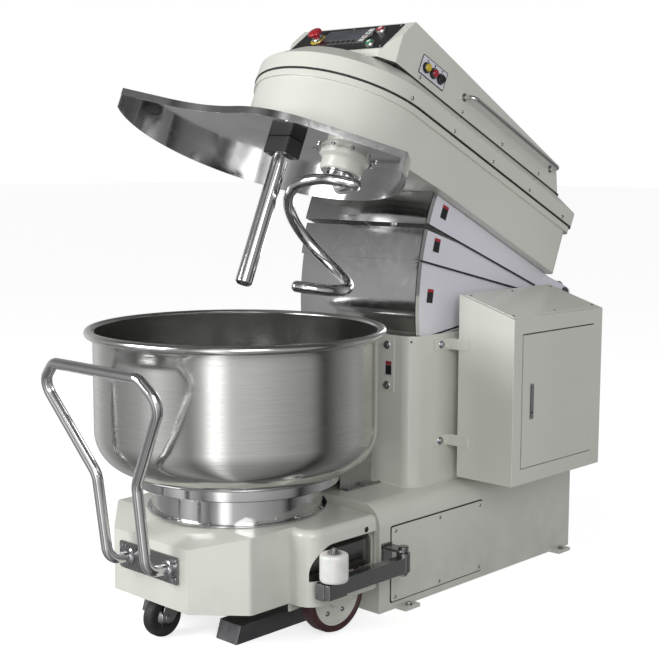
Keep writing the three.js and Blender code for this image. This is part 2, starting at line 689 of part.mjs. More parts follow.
// ---------- bowl lid, bar and spiral ----------
function makeLid() {
  const cutLine = [[-352, -318], [-120, -150], [140, -149], [410, 192]];
  const frontCurve = (shrink) => [
    [cutLine[1][0] - shrink * 0.3, cutLine[1][1] + shrink, 400],
    [cutLine[2][0] - shrink * 0.4, cutLine[2][1] + shrink, 270]];
  const plan = (shrink) => {
    const radius = lidRadius - shrink;
    const start = Math.atan2(cutLine[3][1] + shrink, cutLine[3][0]);
    const end = Math.atan2(cutLine[0][1] + shrink, cutLine[0][0]) + 2 * Math.PI;
    const points = [];
    const steps = 30;
    for (let i = 0; i <= steps; i += 1) {
      const a = start + (i / steps) * (end - start);
      points.push([radius * Math.cos(a), radius * Math.sin(a)]);
    }
    points.push(...frontCurve(shrink));
    return points;
  };
  const pan = cut(
    prismZ(plan(0), lidTop - lidSkirt, lidTop, 4),
    prismZ(plan(lidSheet), lidTop - lidSkirt - 1, lidUnder, 4));
  // Along the front only a narrow lip is left of the skirt.
  const behind = lidSheet + 6;
  const frontRelief = prismZ([[cutLine[0][0], cutLine[0][1] + behind], ...frontCurve(behind),
    [cutLine[3][0], cutLine[3][1] + behind], [600, 0], [300, -600], [-500, -600]],
  lidTop - lidSkirt - 2, lidTop - 22, 6);
  const housingHole = disc(80, lidTop - 5, lidTop + 5, 36).translate(spiralX, spiralY, 0);
  return cut(pan, frontRelief, housingHole);
}

function spiralRoute() {
  const top = 842;
  const points = [new THREE.Vector3(0, 0, 884), new THREE.Vector3(0, 0, top + 24)];
  const orbit = 128;
  const startAngle = -0.35;
  points.push(new THREE.Vector3(12, -3, top + 8));
  points.push(new THREE.Vector3(34, -10, top));
  const steps = 26;
  for (let i = 0; i <= steps; i += 1) {
    const t = i / steps;
    const angle = startAngle - t * 2 * Math.PI * 1.12;
    const inward = 36 * THREE.MathUtils.smoothstep(t, 0.55, 1);
    const radius = orbit - inward;
    const height = top - (top - toolBottom - 20) * THREE.MathUtils.smootherstep(t * 0.86 + 0.07, 0, 1);
    points.push(new THREE.Vector3(radius * Math.cos(angle), radius * Math.sin(angle), height));
  }
  return points;
}

function makeTools(head) {
  add(head, 'bowl_lid', makeLid(), 'stainless');
  const clampBlock = cut(
    prismZ([[-50, barY - 34, 8], [50, barY - 34, 8], [50, barY + 34, 8], [-50, barY + 34, 8]],
      lidUnder - 52, lidUnder - gap, 3),
    disc(barRadius + gap, 850, 960, 32).translate(0, barY, 0));
  add(head, 'bar_clamp', clampBlock, 'blackPlastic');
  const bar = turned([[0, toolBottom], [barRadius - 5, toolBottom], [barRadius, toolBottom + 5],
    [barRadius, lidUnder - gap], [0, lidUnder - gap]], 32).translate(0, barY, 0);
  add(head, 'breaker_bar', bar, 'chrome');

  const stemRadius = 26;
  const bore = stemRadius + 0.5;
  const housingSection = [[bore, 892], [62, 892], [66, 898], [66, 930],
    [78, 936], [78, 985], [bore, 985], [bore, 892]];
  add(head, 'spiral_housing', turned(housingSection, 28).translate(spiralX, spiralY, 0), 'cream');

  const spiral = new THREE.Group();
  spiral.position.set(spiralX, spiralY, 0);
  head.add(spiral);
  const stem = turned([[0, 874], [46, 874], [46, 890], [stemRadius, 890], [stemRadius, 1048], [0, 1048]], 28);
  add(spiral, 'spiral_hook', join(stem, sweep(spiralRoute(), 17, 10)), 'chrome');
  const hub = stemRadius + gap;
  const pulley = turned([[hub, 996], [bigPulley + 6, 996], [bigPulley, 1002], [bigPulley, 1040],
    [bigPulley + 6, 1046], [hub, 1046], [hub, 996]], 36);
  add(spiral, 'spiral_pulley', pulley, 'castIron');
}

function makeHeadDrive(head) {
  const drive = new THREE.Group();
  drive.position.set(motor.x, motor.y, 0);
  head.add(drive);
  const body = join(
    turned([[0, 1066], [motor.radius, 1066], [motor.radius, 1262], [60, 1280], [0, 1280]], 32),
    box(-120, 120, -120, 120, 1060, 1068),
    box(-120, -112, -50, 120, headFloor + 6 + gap, 1062),
    box(112, 120, -50, 120, headFloor + 6 + gap, 1062));
  add(drive, 'spiral_motor', body, 'castIron');
  const pulleyR = 46;
  const small = turned([[0, 996], [pulleyR + 6, 996], [pulleyR, 1002], [pulleyR, 1040],
    [pulleyR + 6, 1046], [18, 1046], [18, 1060 - gap], [0, 1060 - gap]], 24);
  add(drive, 'motor_pulley', small, 'castIron');

  // The belt wraps both pulleys: two arcs and two straight runs.
  const dx = motor.x - spiralX;
  const dy = motor.y - spiralY;
  const distance = Math.hypot(dx, dy);
  const heading = Math.atan2(dy, dx);
  const loop = (grow) => {
    const points = [];
    const lean = Math.acos((bigPulley - pulleyR) / distance);
    const arc = (cx, cy, r, from, to) => {
      for (let i = 0; i <= 12; i += 1) {
        const a = heading + from + (i / 12) * (to - from);
        points.push([cx + r * Math.cos(a), cy + r * Math.sin(a)]);
      }
    };
    arc(spiralX, spiralY, bigPulley + grow, lean, 2 * Math.PI - lean);
    arc(motor.x, motor.y, pulleyR + grow, -lean, lean);
    return points;
  };
  const belt = cut(prismZ(loop(9), 1004, 1038), prismZ(loop(1.6), 1000, 1042));
  add(head, 'drive_belt', belt, 'blackRubber');
}

// ---------- telescoping guards between head and column ----------
const guardFront = 832; // radius about the pivot
const guardHalf = 262;

// Guards are numbered from the outside in; each has a curved front that is centred on the pivot.
function makeGuard(order, floorFront, floorRear) {
  const radius = guardFront - 6 * order;
  const half = guardHalf - 5 * order;
  const top = headFloor - 1.5 - order * 2;
  const profile = (r, over) => {
    const points = [];
    const steps = 8;
    const from = Math.asin((floorFront - over - pivotZ) / r);
    const to = Math.asin((top + over - pivotZ) / r);
    for (let i = 0; i <= steps; i += 1) {
      const a = from + (i / steps) * (to - from);
      points.push([pivotY - r * Math.cos(a), pivotZ + r * Math.sin(a)]);
    }
    points.push([1230, top - 34 + over], [1312, pivotZ + 24 + over, 8]);
    points.push([pivotY + 34 + over, pivotZ + 22 + over, 20], [pivotY + 34 + over, pivotZ - 30 - over, 20]);
    points.push([1300, pivotZ - 32 - over, 8], [1160, floorRear - over]);
    return points;
  };
  const bore = alongX(disc(shaftRadius + 0.4, -300, 300, 24)).translate(0, pivotY, pivotZ);
  return cut(
    prismX(profile(radius, 0), -half, half, 3),
    prismX(profile(radius - 3, 40), -half + 3, half - 3, 3),
    bore);
}

// ---------- lift cylinder ----------
const liftFoot = { y: 700, z: 392 };
const liftEye = { y: 660, z: 922 };
const liftStroke = 262;

// Two cheeks under the head's floor that take the cylinder's eye.
function liftLugs() {
  const top = headFloor - 2;
  const cheek = (x0, x1) => prismX([[620, top], [700, top], [680, 908, 12], [640, 908, 12]], x0, x1, 3);
  return [cheek(-34, -26), cheek(26, 34)];
}

// Two cheeks and a pin on the base that carry the lift cylinder.
function liftStand() {
  return join(
    box(-60, 60, liftFoot.y - 50, liftFoot.y + 50, baseTop - 2, 348),
    box(-46, -38, liftFoot.y - 26, liftFoot.y + 26, 347, 418),
    box(38, 46, liftFoot.y - 26, liftFoot.y + 26, 347, 418),
    alongX(disc(11, -46, 46, 20)).translate(0, liftFoot.y, liftFoot.z));
}

function makeLift() {
  const c = Math.cos(raisedAngle);
  const s = Math.sin(raisedAngle);
  const eyeY = pivotY + (liftEye.y - pivotY) * c + (liftEye.z - pivotZ) * s;
  const eyeZ = pivotZ - (liftEye.y - pivotY) * s + (liftEye.z - pivotZ) * c;
  const reach = Math.hypot(eyeY - liftFoot.y, eyeZ - liftFoot.z);
  const lift = new THREE.Group();
  lift.position.set(0, liftFoot.y, liftFoot.z);
  lift.rotation.x = -Math.atan2(eyeY - liftFoot.y, eyeZ - liftFoot.z);
  mixer.add(lift);
  const barrelTop = 430;
  const barrel = cut(
    join(turned([[0, 14], [38, 20], [38, barrelTop - 4], [34, barrelTop], [0, barrelTop]], 20),
      alongX(disc(22, -30, 30, 20))),
    alongX(disc(11.4, -60, 60, 20)),
    disc(18.4, 60, barrelTop + 10, 20));
  add(lift, 'lift_barrel', barrel, 'castIron');
  const rod = join(
    disc(18, 68 + liftStroke, reach - 10, 20),
    alongX(disc(20, -24, 24, 20)).translate(0, 0, reach));
  add(lift, 'lift_rod', rod, 'chrome');
}

makeBase();
makePivotBearings();
makeBowlDrive();
makeTrolley();
makeDockArms();
makeCabinet();

const head = raised(raisedAngle);
makeHeadCasing(head);
makeControls(head);
makeTools(head);
makeHeadDrive(head);
makeLift();
add(head, 'guard_upper', makeGuard(0, 852, 866), 'whiteSheet');
add(raised(raisedAngle * middleShare), 'guard_middle', makeGuard(1, 852, 866), 'whiteSheet');
add(raised(raisedAngle * lowerShare), 'guard_lower', makeGuard(2, 672, 850), 'whiteSheet');

// Origin at the middle of the footprint, on the floor.
mixer.updateMatrixWorld(true);
const bounds = new THREE.Box3().setFromObject(mixer, true);
const middle = bounds.getCenter(new THREE.Vector3());
mixer.position.set(-middle.x, -middle.y, -bounds.min.z);

export default mixer;
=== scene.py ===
"""Looks of a spiral dough mixer with a tilting head and a removable bowl on a trolley.

Sizes are millimetres in the mixer's own frame: the bowl's axis at x = 0, y = 0, the floor at z = 0, the baker
at -Y, and the head drawn closed over the bowl. REST and raised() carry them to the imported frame, in metres.
"""
import functools
import json
import math
import random

import bmesh
import bpy
from mathutils import Matrix, Vector


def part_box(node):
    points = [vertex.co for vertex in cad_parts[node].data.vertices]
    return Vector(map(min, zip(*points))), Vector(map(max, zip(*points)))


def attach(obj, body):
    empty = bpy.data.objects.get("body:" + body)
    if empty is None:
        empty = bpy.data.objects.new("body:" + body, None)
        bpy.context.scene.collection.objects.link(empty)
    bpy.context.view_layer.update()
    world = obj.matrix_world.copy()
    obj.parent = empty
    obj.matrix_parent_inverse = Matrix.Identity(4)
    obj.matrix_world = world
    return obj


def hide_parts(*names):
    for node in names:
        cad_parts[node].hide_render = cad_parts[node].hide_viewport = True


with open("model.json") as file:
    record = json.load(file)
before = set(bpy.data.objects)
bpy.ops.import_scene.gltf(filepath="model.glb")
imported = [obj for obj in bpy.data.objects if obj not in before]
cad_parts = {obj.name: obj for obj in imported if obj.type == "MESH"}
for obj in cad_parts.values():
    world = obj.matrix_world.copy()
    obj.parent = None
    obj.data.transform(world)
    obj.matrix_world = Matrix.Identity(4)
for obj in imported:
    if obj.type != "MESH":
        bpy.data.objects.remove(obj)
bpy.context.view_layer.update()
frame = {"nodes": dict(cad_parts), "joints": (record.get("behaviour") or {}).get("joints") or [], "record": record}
scene = bpy.context.scene
random.seed(7)


# ---------- places ----------
def middle(node):
    low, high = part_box(node)
    return (low + high) / 2


def joint(name):
    return next(j for j in frame["joints"] if j["name"] == name)


ratios = {c["joint"]: c["ratio"] for c in frame["record"]["behaviour"]["couplings"]}
bowl_axis = middle("bowl") * Vector((1, 1, 0))
REST = Matrix.Translation(bowl_axis) @ Matrix.Scale(0.001, 4)
pivot = middle("pivot_shaft")
tilt = math.radians(joint("head_tilt")["range_deg"][1])


def raised(share=1.0):
    """The place of a piece that is drawn with the head closed."""
    turn = Matrix.Rotation(-tilt * share, 4, "X")
    return Matrix.Translation(pivot) @ turn @ Matrix.Translation(-pivot) @ REST


HEAD = raised()
MIDDLE_GUARD = raised(ratios["middle_guard_fold"])
LOWER_GUARD = raised(ratios["lower_guard_fold"])
ALONG_X = Matrix.Rotation(math.pi / 2, 4, "Y")
MIRROR = Matrix.Diagonal((-1, 1, 1, 1))
SIDES = (Matrix.Identity(4), MIRROR)


# ---------- camera, floor and light ----------
VIEW_AZIMUTH = math.radians(43.64)
VIEW_ELEVATION = math.radians(7.1)
VIEW_ROLL = math.radians(0.23)
CAMERA_FROM_BOWL = Vector((2.8823, -2.6210, 1.3697))
WHITE = (1, 1, 1, 1)

# Brightness round the studio as polished metal sees it, by compass angle in degrees from +Y towards +X.
STUDIO_RING = [(-180, 0.55), (-162, 0.95), (-146, 0.5), (-125, 0.36), (-100, 0.45), (-80, 0.75), (-40, 0.3),
               (0, 0.3), (25, 0.42), (45, 0.24), (60, 0.04), (72, 0.36), (95, 0.5), (112, 0.66), (138, 0.8),
               (150, 2.6), (159, 0.7), (170, 0.26), (180, 0.58)]
# How bright a direction is from straight down (-1) to straight up (1), for reflections and for soft light.
STUDIO_RISE = [(-1, 0.4), (-0.6, 0.55), (-0.3, 0.9), (-0.05, 1.1), (0.1, 1), (0.4, 0.6), (0.7, 0.3),
               (1, 0.14)]
DOME_RISE = [(-1, 0.16), (-0.15, 0.28), (0.1, 0.62), (0.5, 0.4), (1, 0.2)]

LIGHT_AIM = (0, 0, 0.8)
# name: (place, aim, size, power)
LIGHTS = {
    "key": ((-1.6, -4.6, 2.4), LIGHT_AIM, (2.6, 2.2), 175),
    "fill": ((3.9, -3.0, 2.4), LIGHT_AIM, (2.0, 2.6), 78),
    "top": ((0, 0, 5.5), (0, 0, 0), (7, 7), 8),
}
FLOOR_REACH = 60


def shown(name, data):
    made = bpy.data.objects.new(name, data)
    scene.collection.objects.link(made)
    return made


def make_camera():
    data = bpy.data.cameras.new("camera")
    data.sensor_width = 36
    data.lens = 71.7
    data.shift_y = -0.0079
    data.clip_end = 200
    camera = shown("camera", data)
    turn = Matrix.Rotation(VIEW_AZIMUTH, 4, "Z") @ Matrix.Rotation(math.pi / 2 - VIEW_ELEVATION, 4, "X")
    camera.matrix_world = (Matrix.Translation(bowl_axis + CAMERA_FROM_BOWL) @ turn
                           @ Matrix.Rotation(VIEW_ROLL, 4, "Z"))
    scene.camera = camera


def area_light(name, at, towards, size, power):
    data = bpy.data.lights.new(name, "AREA")
    data.shape = "RECTANGLE"
    data.size, data.size_y = size
    data.energy = power
    light = shown(name, data)
    light.location = at
    light.rotation_euler = (Vector(towards) - Vector(at)).to_track_quat("-Z", "Y").to_euler()


def add_node(tree, kind, inputs, **settings):
    """A shader node; each input takes a value or another node's output."""
    node = tree.nodes.new(kind)
    for key, value in settings.items():
        setattr(node, key, value)
    for key, value in inputs.items():
        if isinstance(value, bpy.types.NodeSocket):
            tree.links.new(value, node.inputs[key])
        else:
            node.inputs[key].default_value = value
    return node


def make_world():
    """Metal sees a studio with softboxes and flags, paint a soft dome, and the camera plain white."""
    world = bpy.data.worlds.new("studio")
    scene.world = world
    world.use_nodes = True
    world.node_tree.nodes.clear()
    new = functools.partial(add_node, world.node_tree)

    def ramp(value, levels):
        """A brightness for each value between the first and the last level's place."""
        first, last = levels[0][0], levels[-1][0]
        share = new("ShaderNodeMapRange", {"Value": value, "From Min": first, "From Max": last})
        node = new("ShaderNodeValToRGB", {"Fac": share.outputs[0]})
        elements = node.color_ramp.elements
        for place, level in levels[1:-1]:
            elements.new((place - first) / (last - first)).color = (level, level, level, 1)
        for end in (0, -1):
            elements[end].color = (*[levels[end][1]] * 3, 1)
        return node.outputs["Color"]

    def light(color):
        return new("ShaderNodeBackground", {"Color": color}).outputs[0]

    def choose(switch, other, chosen):
        return new("ShaderNodeMixShader", {0: path.outputs[switch], 1: other, 2: chosen}).outputs[0]

    direction = new("ShaderNodeTexCoord", {}).outputs["Generated"]
    split = new("ShaderNodeSeparateXYZ", {0: direction})
    around = new("ShaderNodeMath", {0: split.outputs["X"], 1: split.outputs["Y"]}, operation="ARCTAN2")
    degrees = new("ShaderNodeMath", {0: around.outputs[0]}, operation="DEGREES")
    studio = new("ShaderNodeMix", {"Factor": 1, "A": ramp(degrees.outputs[0], STUDIO_RING),
                                   "B": ramp(split.outputs["Z"], STUDIO_RISE)},
                 data_type="RGBA", blend_type="MULTIPLY")
    path = new("ShaderNodeLightPath", {})
    dome = light(ramp(split.outputs["Z"], DOME_RISE))
    seen = choose("Is Glossy Ray", dome, light(studio.outputs["Result"]))
    new("ShaderNodeOutputWorld", {"Surface": choose("Is Camera Ray", seen, light(WHITE))})


def make_stage():
    make_camera()
    make_world()
    scene.view_settings.view_transform = "Standard"
    for name, facts in LIGHTS.items():
        area_light(name, *facts)
    mesh = bpy.data.meshes.new("floor")
    corners = [(x * FLOOR_REACH, y * FLOOR_REACH, 0) for x, y in ((-1, -1), (1, -1), (1, 1), (-1, 1))]
    mesh.from_pydata(corners, [], [(0, 1, 2, 3)])
    floor = shown("floor", mesh)
    pale = bpy.data.materials.new("floor_pale")
    pale.use_nodes = True
    shader = pale.node_tree.nodes["Principled BSDF"]
    shader.inputs["Base Color"].default_value = (0.7, 0.7, 0.7, 1)
    shader.inputs["Roughness"].default_value = 0.7
    shader.inputs["Emission Color"].default_value = WHITE
    shader.inputs["Emission Strength"].default_value = 0.72
    mesh.materials.append(pale)
    floor.visible_glossy = False
    floor.visible_diffuse = False


# ---------- materials ----------
class Recipe:
    """A Principled material with noise-driven colour, roughness and bump."""

    def __init__(self, name, color, roughness, metallic=0.0, **sockets):
        self.name = name
        self.material = bpy.data.materials.new(name)
        self.material.use_nodes = True
        tree = self.material.node_tree
        self.link = tree.links.new
        self.node = functools.partial(add_node, tree)
        self.inputs = tree.nodes["Principled BSDF"].inputs
        values = {"Base Color": (*color, 1), "Roughness": roughness, "Metallic": metallic}
        values.update({socket.replace("_", " "): value for socket, value in sockets.items()})
        for socket, value in values.items():
            self.inputs[socket].default_value = value
        self.place = self.node("ShaderNodeTexCoord", {}).outputs["Object"]
        self.height = None

    def noise(self, scale, stretch=(1, 1, 1), detail=3, distortion=0.0, place=None):
        """A noise value in object space; a large stretch makes it change fast along that axis."""
        mapping = self.node("ShaderNodeMapping", {"Scale": stretch, "Vector": place or self.place})
        texture = self.node("ShaderNodeTexNoise", {"Scale": scale, "Detail": detail, "Distortion": distortion,
                                                   "Vector": mapping.outputs[0]})
        return texture.outputs["Fac"]

    def turned_grain(self, axis, lines):
        """A noise value in fine rings about an upright axis, on walls and floors alike."""
        def vector(operation, *values):
            return self.node("ShaderNodeVectorMath", dict(enumerate(values)), operation=operation).outputs
        offset = vector("SUBTRACT", self.place, axis)[0]
        radius = vector("LENGTH", vector("MULTIPLY", offset, (1, 1, 0))[0])["Value"]
        split = self.node("ShaderNodeSeparateXYZ", {0: offset}).outputs
        around = self.node("ShaderNodeMath", {0: split["X"], 1: split["Y"]}, operation="ARCTAN2").outputs[0]
        rings = self.node("ShaderNodeCombineXYZ", {"X": around, "Y": radius, "Z": split["Z"]}).outputs[0]
        return self.noise(1, (3, lines, lines), 4, place=rings)

    def mapped(self, value, low, high, start=0.3, end=0.7):
        return self.node("ShaderNodeMapRange", {"Value": value, "From Min": start, "From Max": end,
                                                "To Min": low, "To Max": high}).outputs[0]

    def tint(self, value, other, start=0.3, end=0.7):
        """Blends the colour so far towards another one by a value."""
        target = self.inputs["Base Color"]
        so_far = target.links[0].from_socket if target.is_linked else target.default_value
        mix = self.node("ShaderNodeMix", {"Factor": self.mapped(value, 0, 1, start, end), "A": so_far,
                                          "B": (*other, 1)}, data_type="RGBA")
        self.link(mix.outputs["Result"], target)
        return self

    def rough(self, value, low, high):
        self.link(self.mapped(value, low, high), self.inputs["Roughness"])
        return self

    def bump(self, value, strength, distance):
        facts = {"Strength": strength, "Distance": distance, "Height": value}
        if self.height:
            facts["Normal"] = self.height
        self.height = self.node("ShaderNodeBump", facts).outputs[0]
        self.link(self.height, self.inputs["Normal"])
        return self

    def darken_low(self, other, top):
        """Darker towards the floor: blends towards another colour below a height, broken up by noise."""
        height = self.node("ShaderNodeSeparateXYZ", {0: self.place}).outputs["Z"]
        low = self.mapped(height, 1, 0, 0, top)
        low_darkness = self.node("ShaderNodeMath", {0: low, 1: self.noise(14, detail=5)}, operation="MULTIPLY")
        return self.tint(low_darkness.outputs[0], other, 0.15, 1.3)


def shade(color, factor):
    return tuple(min(1, c * factor) for c in color)


def paint(name, color, low_darkening=True):
    made = Recipe(name, color, 0.34, Coat_Weight=0.55, Coat_Roughness=0.1)
    made.tint(made.noise(2.2, detail=4), shade(color, 0.93), 0.35, 0.75)
    # Darker towards the floor, below 0.34 m, broken up by noise.
    if low_darkening:
        made.darken_low(shade(color, 0.62), 0.34)
    made.rough(made.noise(30, detail=5), 0.28, 0.42)
    made.bump(made.noise(16, detail=1), 0.06, 0.002)
    return made.bump(made.noise(1100, detail=2), 0.10, 0.0003)


def steel(name, color, roughness, stretch, strength):
    """Brushed metal: the grain runs across the axis with the large stretch."""
    made = Recipe(name, color, roughness, 1.0)
    grain = made.noise(1, stretch, detail=6)
    made.tint(grain, shade(color, 0.86), 0.42, 0.8)
    made.tint(made.noise(5, detail=4, distortion=0.6), shade(color, 0.9), 0.5, 0.8)
    made.rough(grain, roughness - 0.05, roughness + 0.09)
    return made.bump(grain, strength, 0.0002)


def polished(name, color, roughness):
    made = Recipe(name, color, roughness, 1.0)
    made.tint(made.noise(9, detail=4), shade(color, 0.88), 0.4, 0.8)
    made.rough(made.noise(46, detail=6, distortion=0.8), roughness * 0.8, roughness * 1.6)
    return made.bump(made.noise(3, detail=1), 0.012, 0.002)


def plastic(name, color, roughness, **sockets):
    made = Recipe(name, color, roughness, **sockets)
    made.tint(made.noise(60, detail=3), shade(color, 0.85), 0.4, 0.8)
    made.rough(made.noise(120, detail=4), roughness * 0.85, roughness * 1.25)
    return made.bump(made.noise(900, detail=2), 0.12, 0.0003)


def make_materials():
    silver = (0.60, 0.60, 0.585)
    bowl = Recipe("stainless_bowl", silver, 0.17, 1.0, Anisotropic=0.4)
    rings = bowl.turned_grain(bowl_axis, 420)
    bowl.tint(rings, shade(silver, 0.88), 0.4, 0.8)
    bowl.tint(bowl.noise(3, detail=4, distortion=0.6), shade(silver, 0.9), 0.5, 0.8)
    bowl.rough(rings, 0.12, 0.2).bump(rings, 0.03, 0.0002)
    tangent = bowl.node("ShaderNodeTangent", {}, direction_type="RADIAL", axis="Z")
    bowl.link(tangent.outputs[0], bowl.inputs["Tangent"])
    cast = Recipe("cast_iron", (0.062, 0.066, 0.072), 0.55, 0.3)
    cast.tint(cast.noise(40, detail=6), (0.1, 0.1, 0.1), 0.45, 0.8)
    cast.bump(cast.noise(420, detail=4), 0.3, 0.0008)
    rubber = Recipe("black_rubber", (0.014, 0.014, 0.015), 0.62)
    rubber.tint(rubber.noise(26, detail=6), (0.05, 0.05, 0.048), 0.5, 0.85)
    rubber.bump(rubber.noise(600, detail=3), 0.2, 0.0005)
    tyre = Recipe("tyre_rubber", (0.055, 0.016, 0.019), 0.5)
    tyre.tint(tyre.noise(18, detail=6), (0.14, 0.075, 0.07), 0.5, 0.85)
    tyre.rough(tyre.noise(70, detail=5), 0.36, 0.66)
    tyre.bump(tyre.noise(300, detail=4), 0.25, 0.0006)
    rail = Recipe("dark_steel", (0.125, 0.127, 0.134), 0.27, 0.8)
    rail.tint(rail.noise(12, (1, 0.3, 1), detail=7, distortion=1.0), (0.2, 0.2, 0.2), 0.52, 0.8)
    rail.rough(rail.noise(34, detail=6), 0.24, 0.5)
    rail.bump(rail.noise(90, detail=5), 0.2, 0.0006)
    nylon = Recipe("nylon", (0.86, 0.86, 0.84), 0.42, Subsurface_Weight=0.12)
    nylon.tint(nylon.noise(30, detail=5), (0.72, 0.72, 0.70), 0.5, 0.85)
    nylon.bump(nylon.noise(1, (3, 3, 900), detail=3), 0.2, 0.0003)
    display = Recipe("display_dark", (0.035, 0.042, 0.055), 0.12, Coat_Weight=0.6)
    display.tint(display.noise(12, detail=2), (0.06, 0.075, 0.1), 0.4, 0.7)
    display.rough(display.noise(80, detail=5), 0.07, 0.2)
    recipes = [
        bowl, cast, rubber, tyre, rail, nylon, display,
        paint("cream_paint", (0.75, 0.755, 0.69)),
        paint("white_sheet", (0.84, 0.83, 0.91), low_darkening=False),
        polished("black_steel", (0.24, 0.235, 0.23), 0.16),
        polished("stainless_mirror", (0.56, 0.56, 0.56), 0.09),
        polished("chrome", (0.68, 0.68, 0.69), 0.09),
        polished("bolt_steel", (0.42, 0.42, 0.44), 0.2),
        steel("stainless", silver, 0.26, (60, 60, 60), 0.06),
        steel("stainless_flat", (0.42, 0.42, 0.415), 0.3, (420, 2, 420), 0.10),
        steel("arm_steel", (0.3, 0.3, 0.305), 0.24, (420, 3, 420), 0.08),
        plastic("black_plastic", (0.012, 0.012, 0.014), 0.42),
        plastic("red_plastic", (0.42, 0.012, 0.025), 0.26, Coat_Weight=0.3),
        plastic("green_plastic", (0.015, 0.24, 0.09), 0.28, Coat_Weight=0.3),
        plastic("yellow_plastic", (0.66, 0.5, 0.03), 0.3, Coat_Weight=0.3),
        plastic("white_plastic", (0.7, 0.7, 0.7), 0.35),
    ]
    return {recipe.name: recipe.material for recipe in recipes}


# ---------- shapes ----------
def circle(count, radius, start=0.0):
    """Points spread evenly round a circle."""
    turns = (start + 2 * math.pi * i / count for i in range(count))
    return [(radius * math.cos(a), radius * math.sin(a)) for a in turns]


def arc(centre, radius, start, end, steps):
    """Points from one angle to another, in degrees."""
    angles = [math.radians(start + (end - start) * i / steps) for i in range(steps + 1)]
    return [(centre[0] + radius * math.cos(a), centre[1] + radius * math.sin(a)) for a in angles]


def bent(corners, loop=False, steps=10):
    """Corner points (x, y, z, radius of bend) as a line whose corners are arcs."""
    points = []
    count = len(corners)
    for i, (x, y, z, radius) in enumerate(corners):
        here = Vector((x, y, z))
        if not radius or (not loop and i in (0, count - 1)):
            points.append(here)
            continue
        back = (Vector(corners[i - 1][:3]) - here).normalized()
        ahead = (Vector(corners[(i + 1) % count][:3]) - here).normalized()
        half = back.angle(ahead) / 2
        centre = here + (back + ahead).normalized() * (radius / math.sin(half))
        start = (here + back * (radius / math.tan(half)) - centre) / radius
        end = (here + ahead * (radius / math.tan(half)) - centre) / radius
        points += [centre + radius * start.slerp(end, s / steps) for s in range(steps + 1)]
    return points


def outline(points, steps=10):
    """Corner points (a, b) or (a, b, radius) as a closed outline with round corners."""
    corners = [(p[0], p[1], 0, p[2] if len(p) > 2 else 0) for p in points]
    return [(p.x, p.y) for p in bent(corners, True, steps)]


def rectangle(x0, y0, x1, y1, near=0, far=None, steps=10):
    """A rectangle's outline; its corners at y0 have one radius, and those at y1 may have another."""
    far = near if far is None else far
    return outline([(x0, y0, near), (x1, y0, near), (x1, y1, far), (x0, y1, far)], steps)


def skinned(bm, rings, loop, capped):
    """Faces between rings of vertices; a ring of one vertex is a point on the axis."""
    pairs = list(zip(rings, rings[1:]))
    if loop:
        pairs.append((rings[-1], rings[0]))
    for a, b in pairs:
        count = max(len(a), len(b))
        for i in range(count):
            j = (i + 1) % count
            corners = list(dict.fromkeys((a[i % len(a)], a[j % len(a)], b[j % len(b)], b[i % len(b)])))
            if len(corners) > 2:
                bm.faces.new(corners)
    if capped:
        bm.faces.new(rings[0][::-1])
        bm.faces.new(rings[-1])


def loft(loops):
    """A closed skin over loops that have the same number of points."""
    bm = bmesh.new()
    skinned(bm, [[bm.verts.new(p) for p in points] for points in loops], False, True)
    bmesh.ops.remove_doubles(bm, verts=bm.verts, dist=1e-4)
    bmesh.ops.recalc_face_normals(bm, faces=bm.faces)
    return bm


PLACES = {"X": lambda a, b, c: (c, a, b), "Y": lambda a, b, c: (a, c, b), "Z": lambda a, b, c: (a, b, c)}


def prism(axis, points, low, high):
    """An outline of (x, y), (y, z) or (x, z) points, drawn out along Z, X or Y."""
    return loft([[PLACES[axis](a, b, level) for a, b in points] for level in (low, high)])


def block(x0, x1, y0, y1, z0, z1):
    return prism("Z", [(x0, y0), (x1, y0), (x1, y1), (x0, y1)], z0, z1)


def lathe(profile, sides=96, loop=False):
    """(radius, z) points turned about the Z axis."""
    bm = bmesh.new()
    rings = []
    for radius, z in profile:
        around = circle(sides, radius) if radius > 1e-6 else [(0, 0)]
        rings.append([bm.verts.new((x, y, z)) for x, y in around])
    skinned(bm, rings, loop, False)
    bmesh.ops.recalc_face_normals(bm, faces=bm.faces)
    return bm


def rod(radius, low, high, sides=32):
    return lathe([(0, low), (radius, low), (radius, high), (0, high)], sides)


def tube(points, radius, sides=24):
    """A round bar along points, with its section carried along without twist."""
    bm = bmesh.new()
    points = [Vector(p) for p in points]
    rings = []
    side = None
    for i, p in enumerate(points):
        along = (points[min(i + 1, len(points) - 1)] - points[max(i - 1, 0)]).normalized()
        if side is None:
            side = along.orthogonal().normalized()
        side = (side - along * side.dot(along)).normalized()
        up = along.cross(side)
        rings.append([bm.verts.new(p + side * a + up * b) for a, b in circle(sides, radius)])
    skinned(bm, rings, False, True)
    bmesh.ops.recalc_face_normals(bm, faces=bm.faces)
    return bm


def turned_to(bm, matrix):
    bmesh.ops.transform(bm, matrix=matrix, verts=bm.verts)
    if matrix.determinant() < 0:
        bmesh.ops.reverse_faces(bm, faces=bm.faces)
    return bm


def moved(bm, x, y, z):
    return turned_to(bm, Matrix.Translation((x, y, z)))


def across(bm, x=0, y=0, z=0):
    """A turned shape laid along X, with its middle at a point."""
    return moved(turned_to(bm, ALONG_X), x, y, z)


def mirrored(make):
    """A shape and its mirror image, each freshly made."""
    return [turned_to(make(), side) for side in SIDES]


def as_object(bm):
    mesh = bpy.data.meshes.new("tool")
    bm.to_mesh(mesh)
    bm.free()
    return shown("tool", mesh)


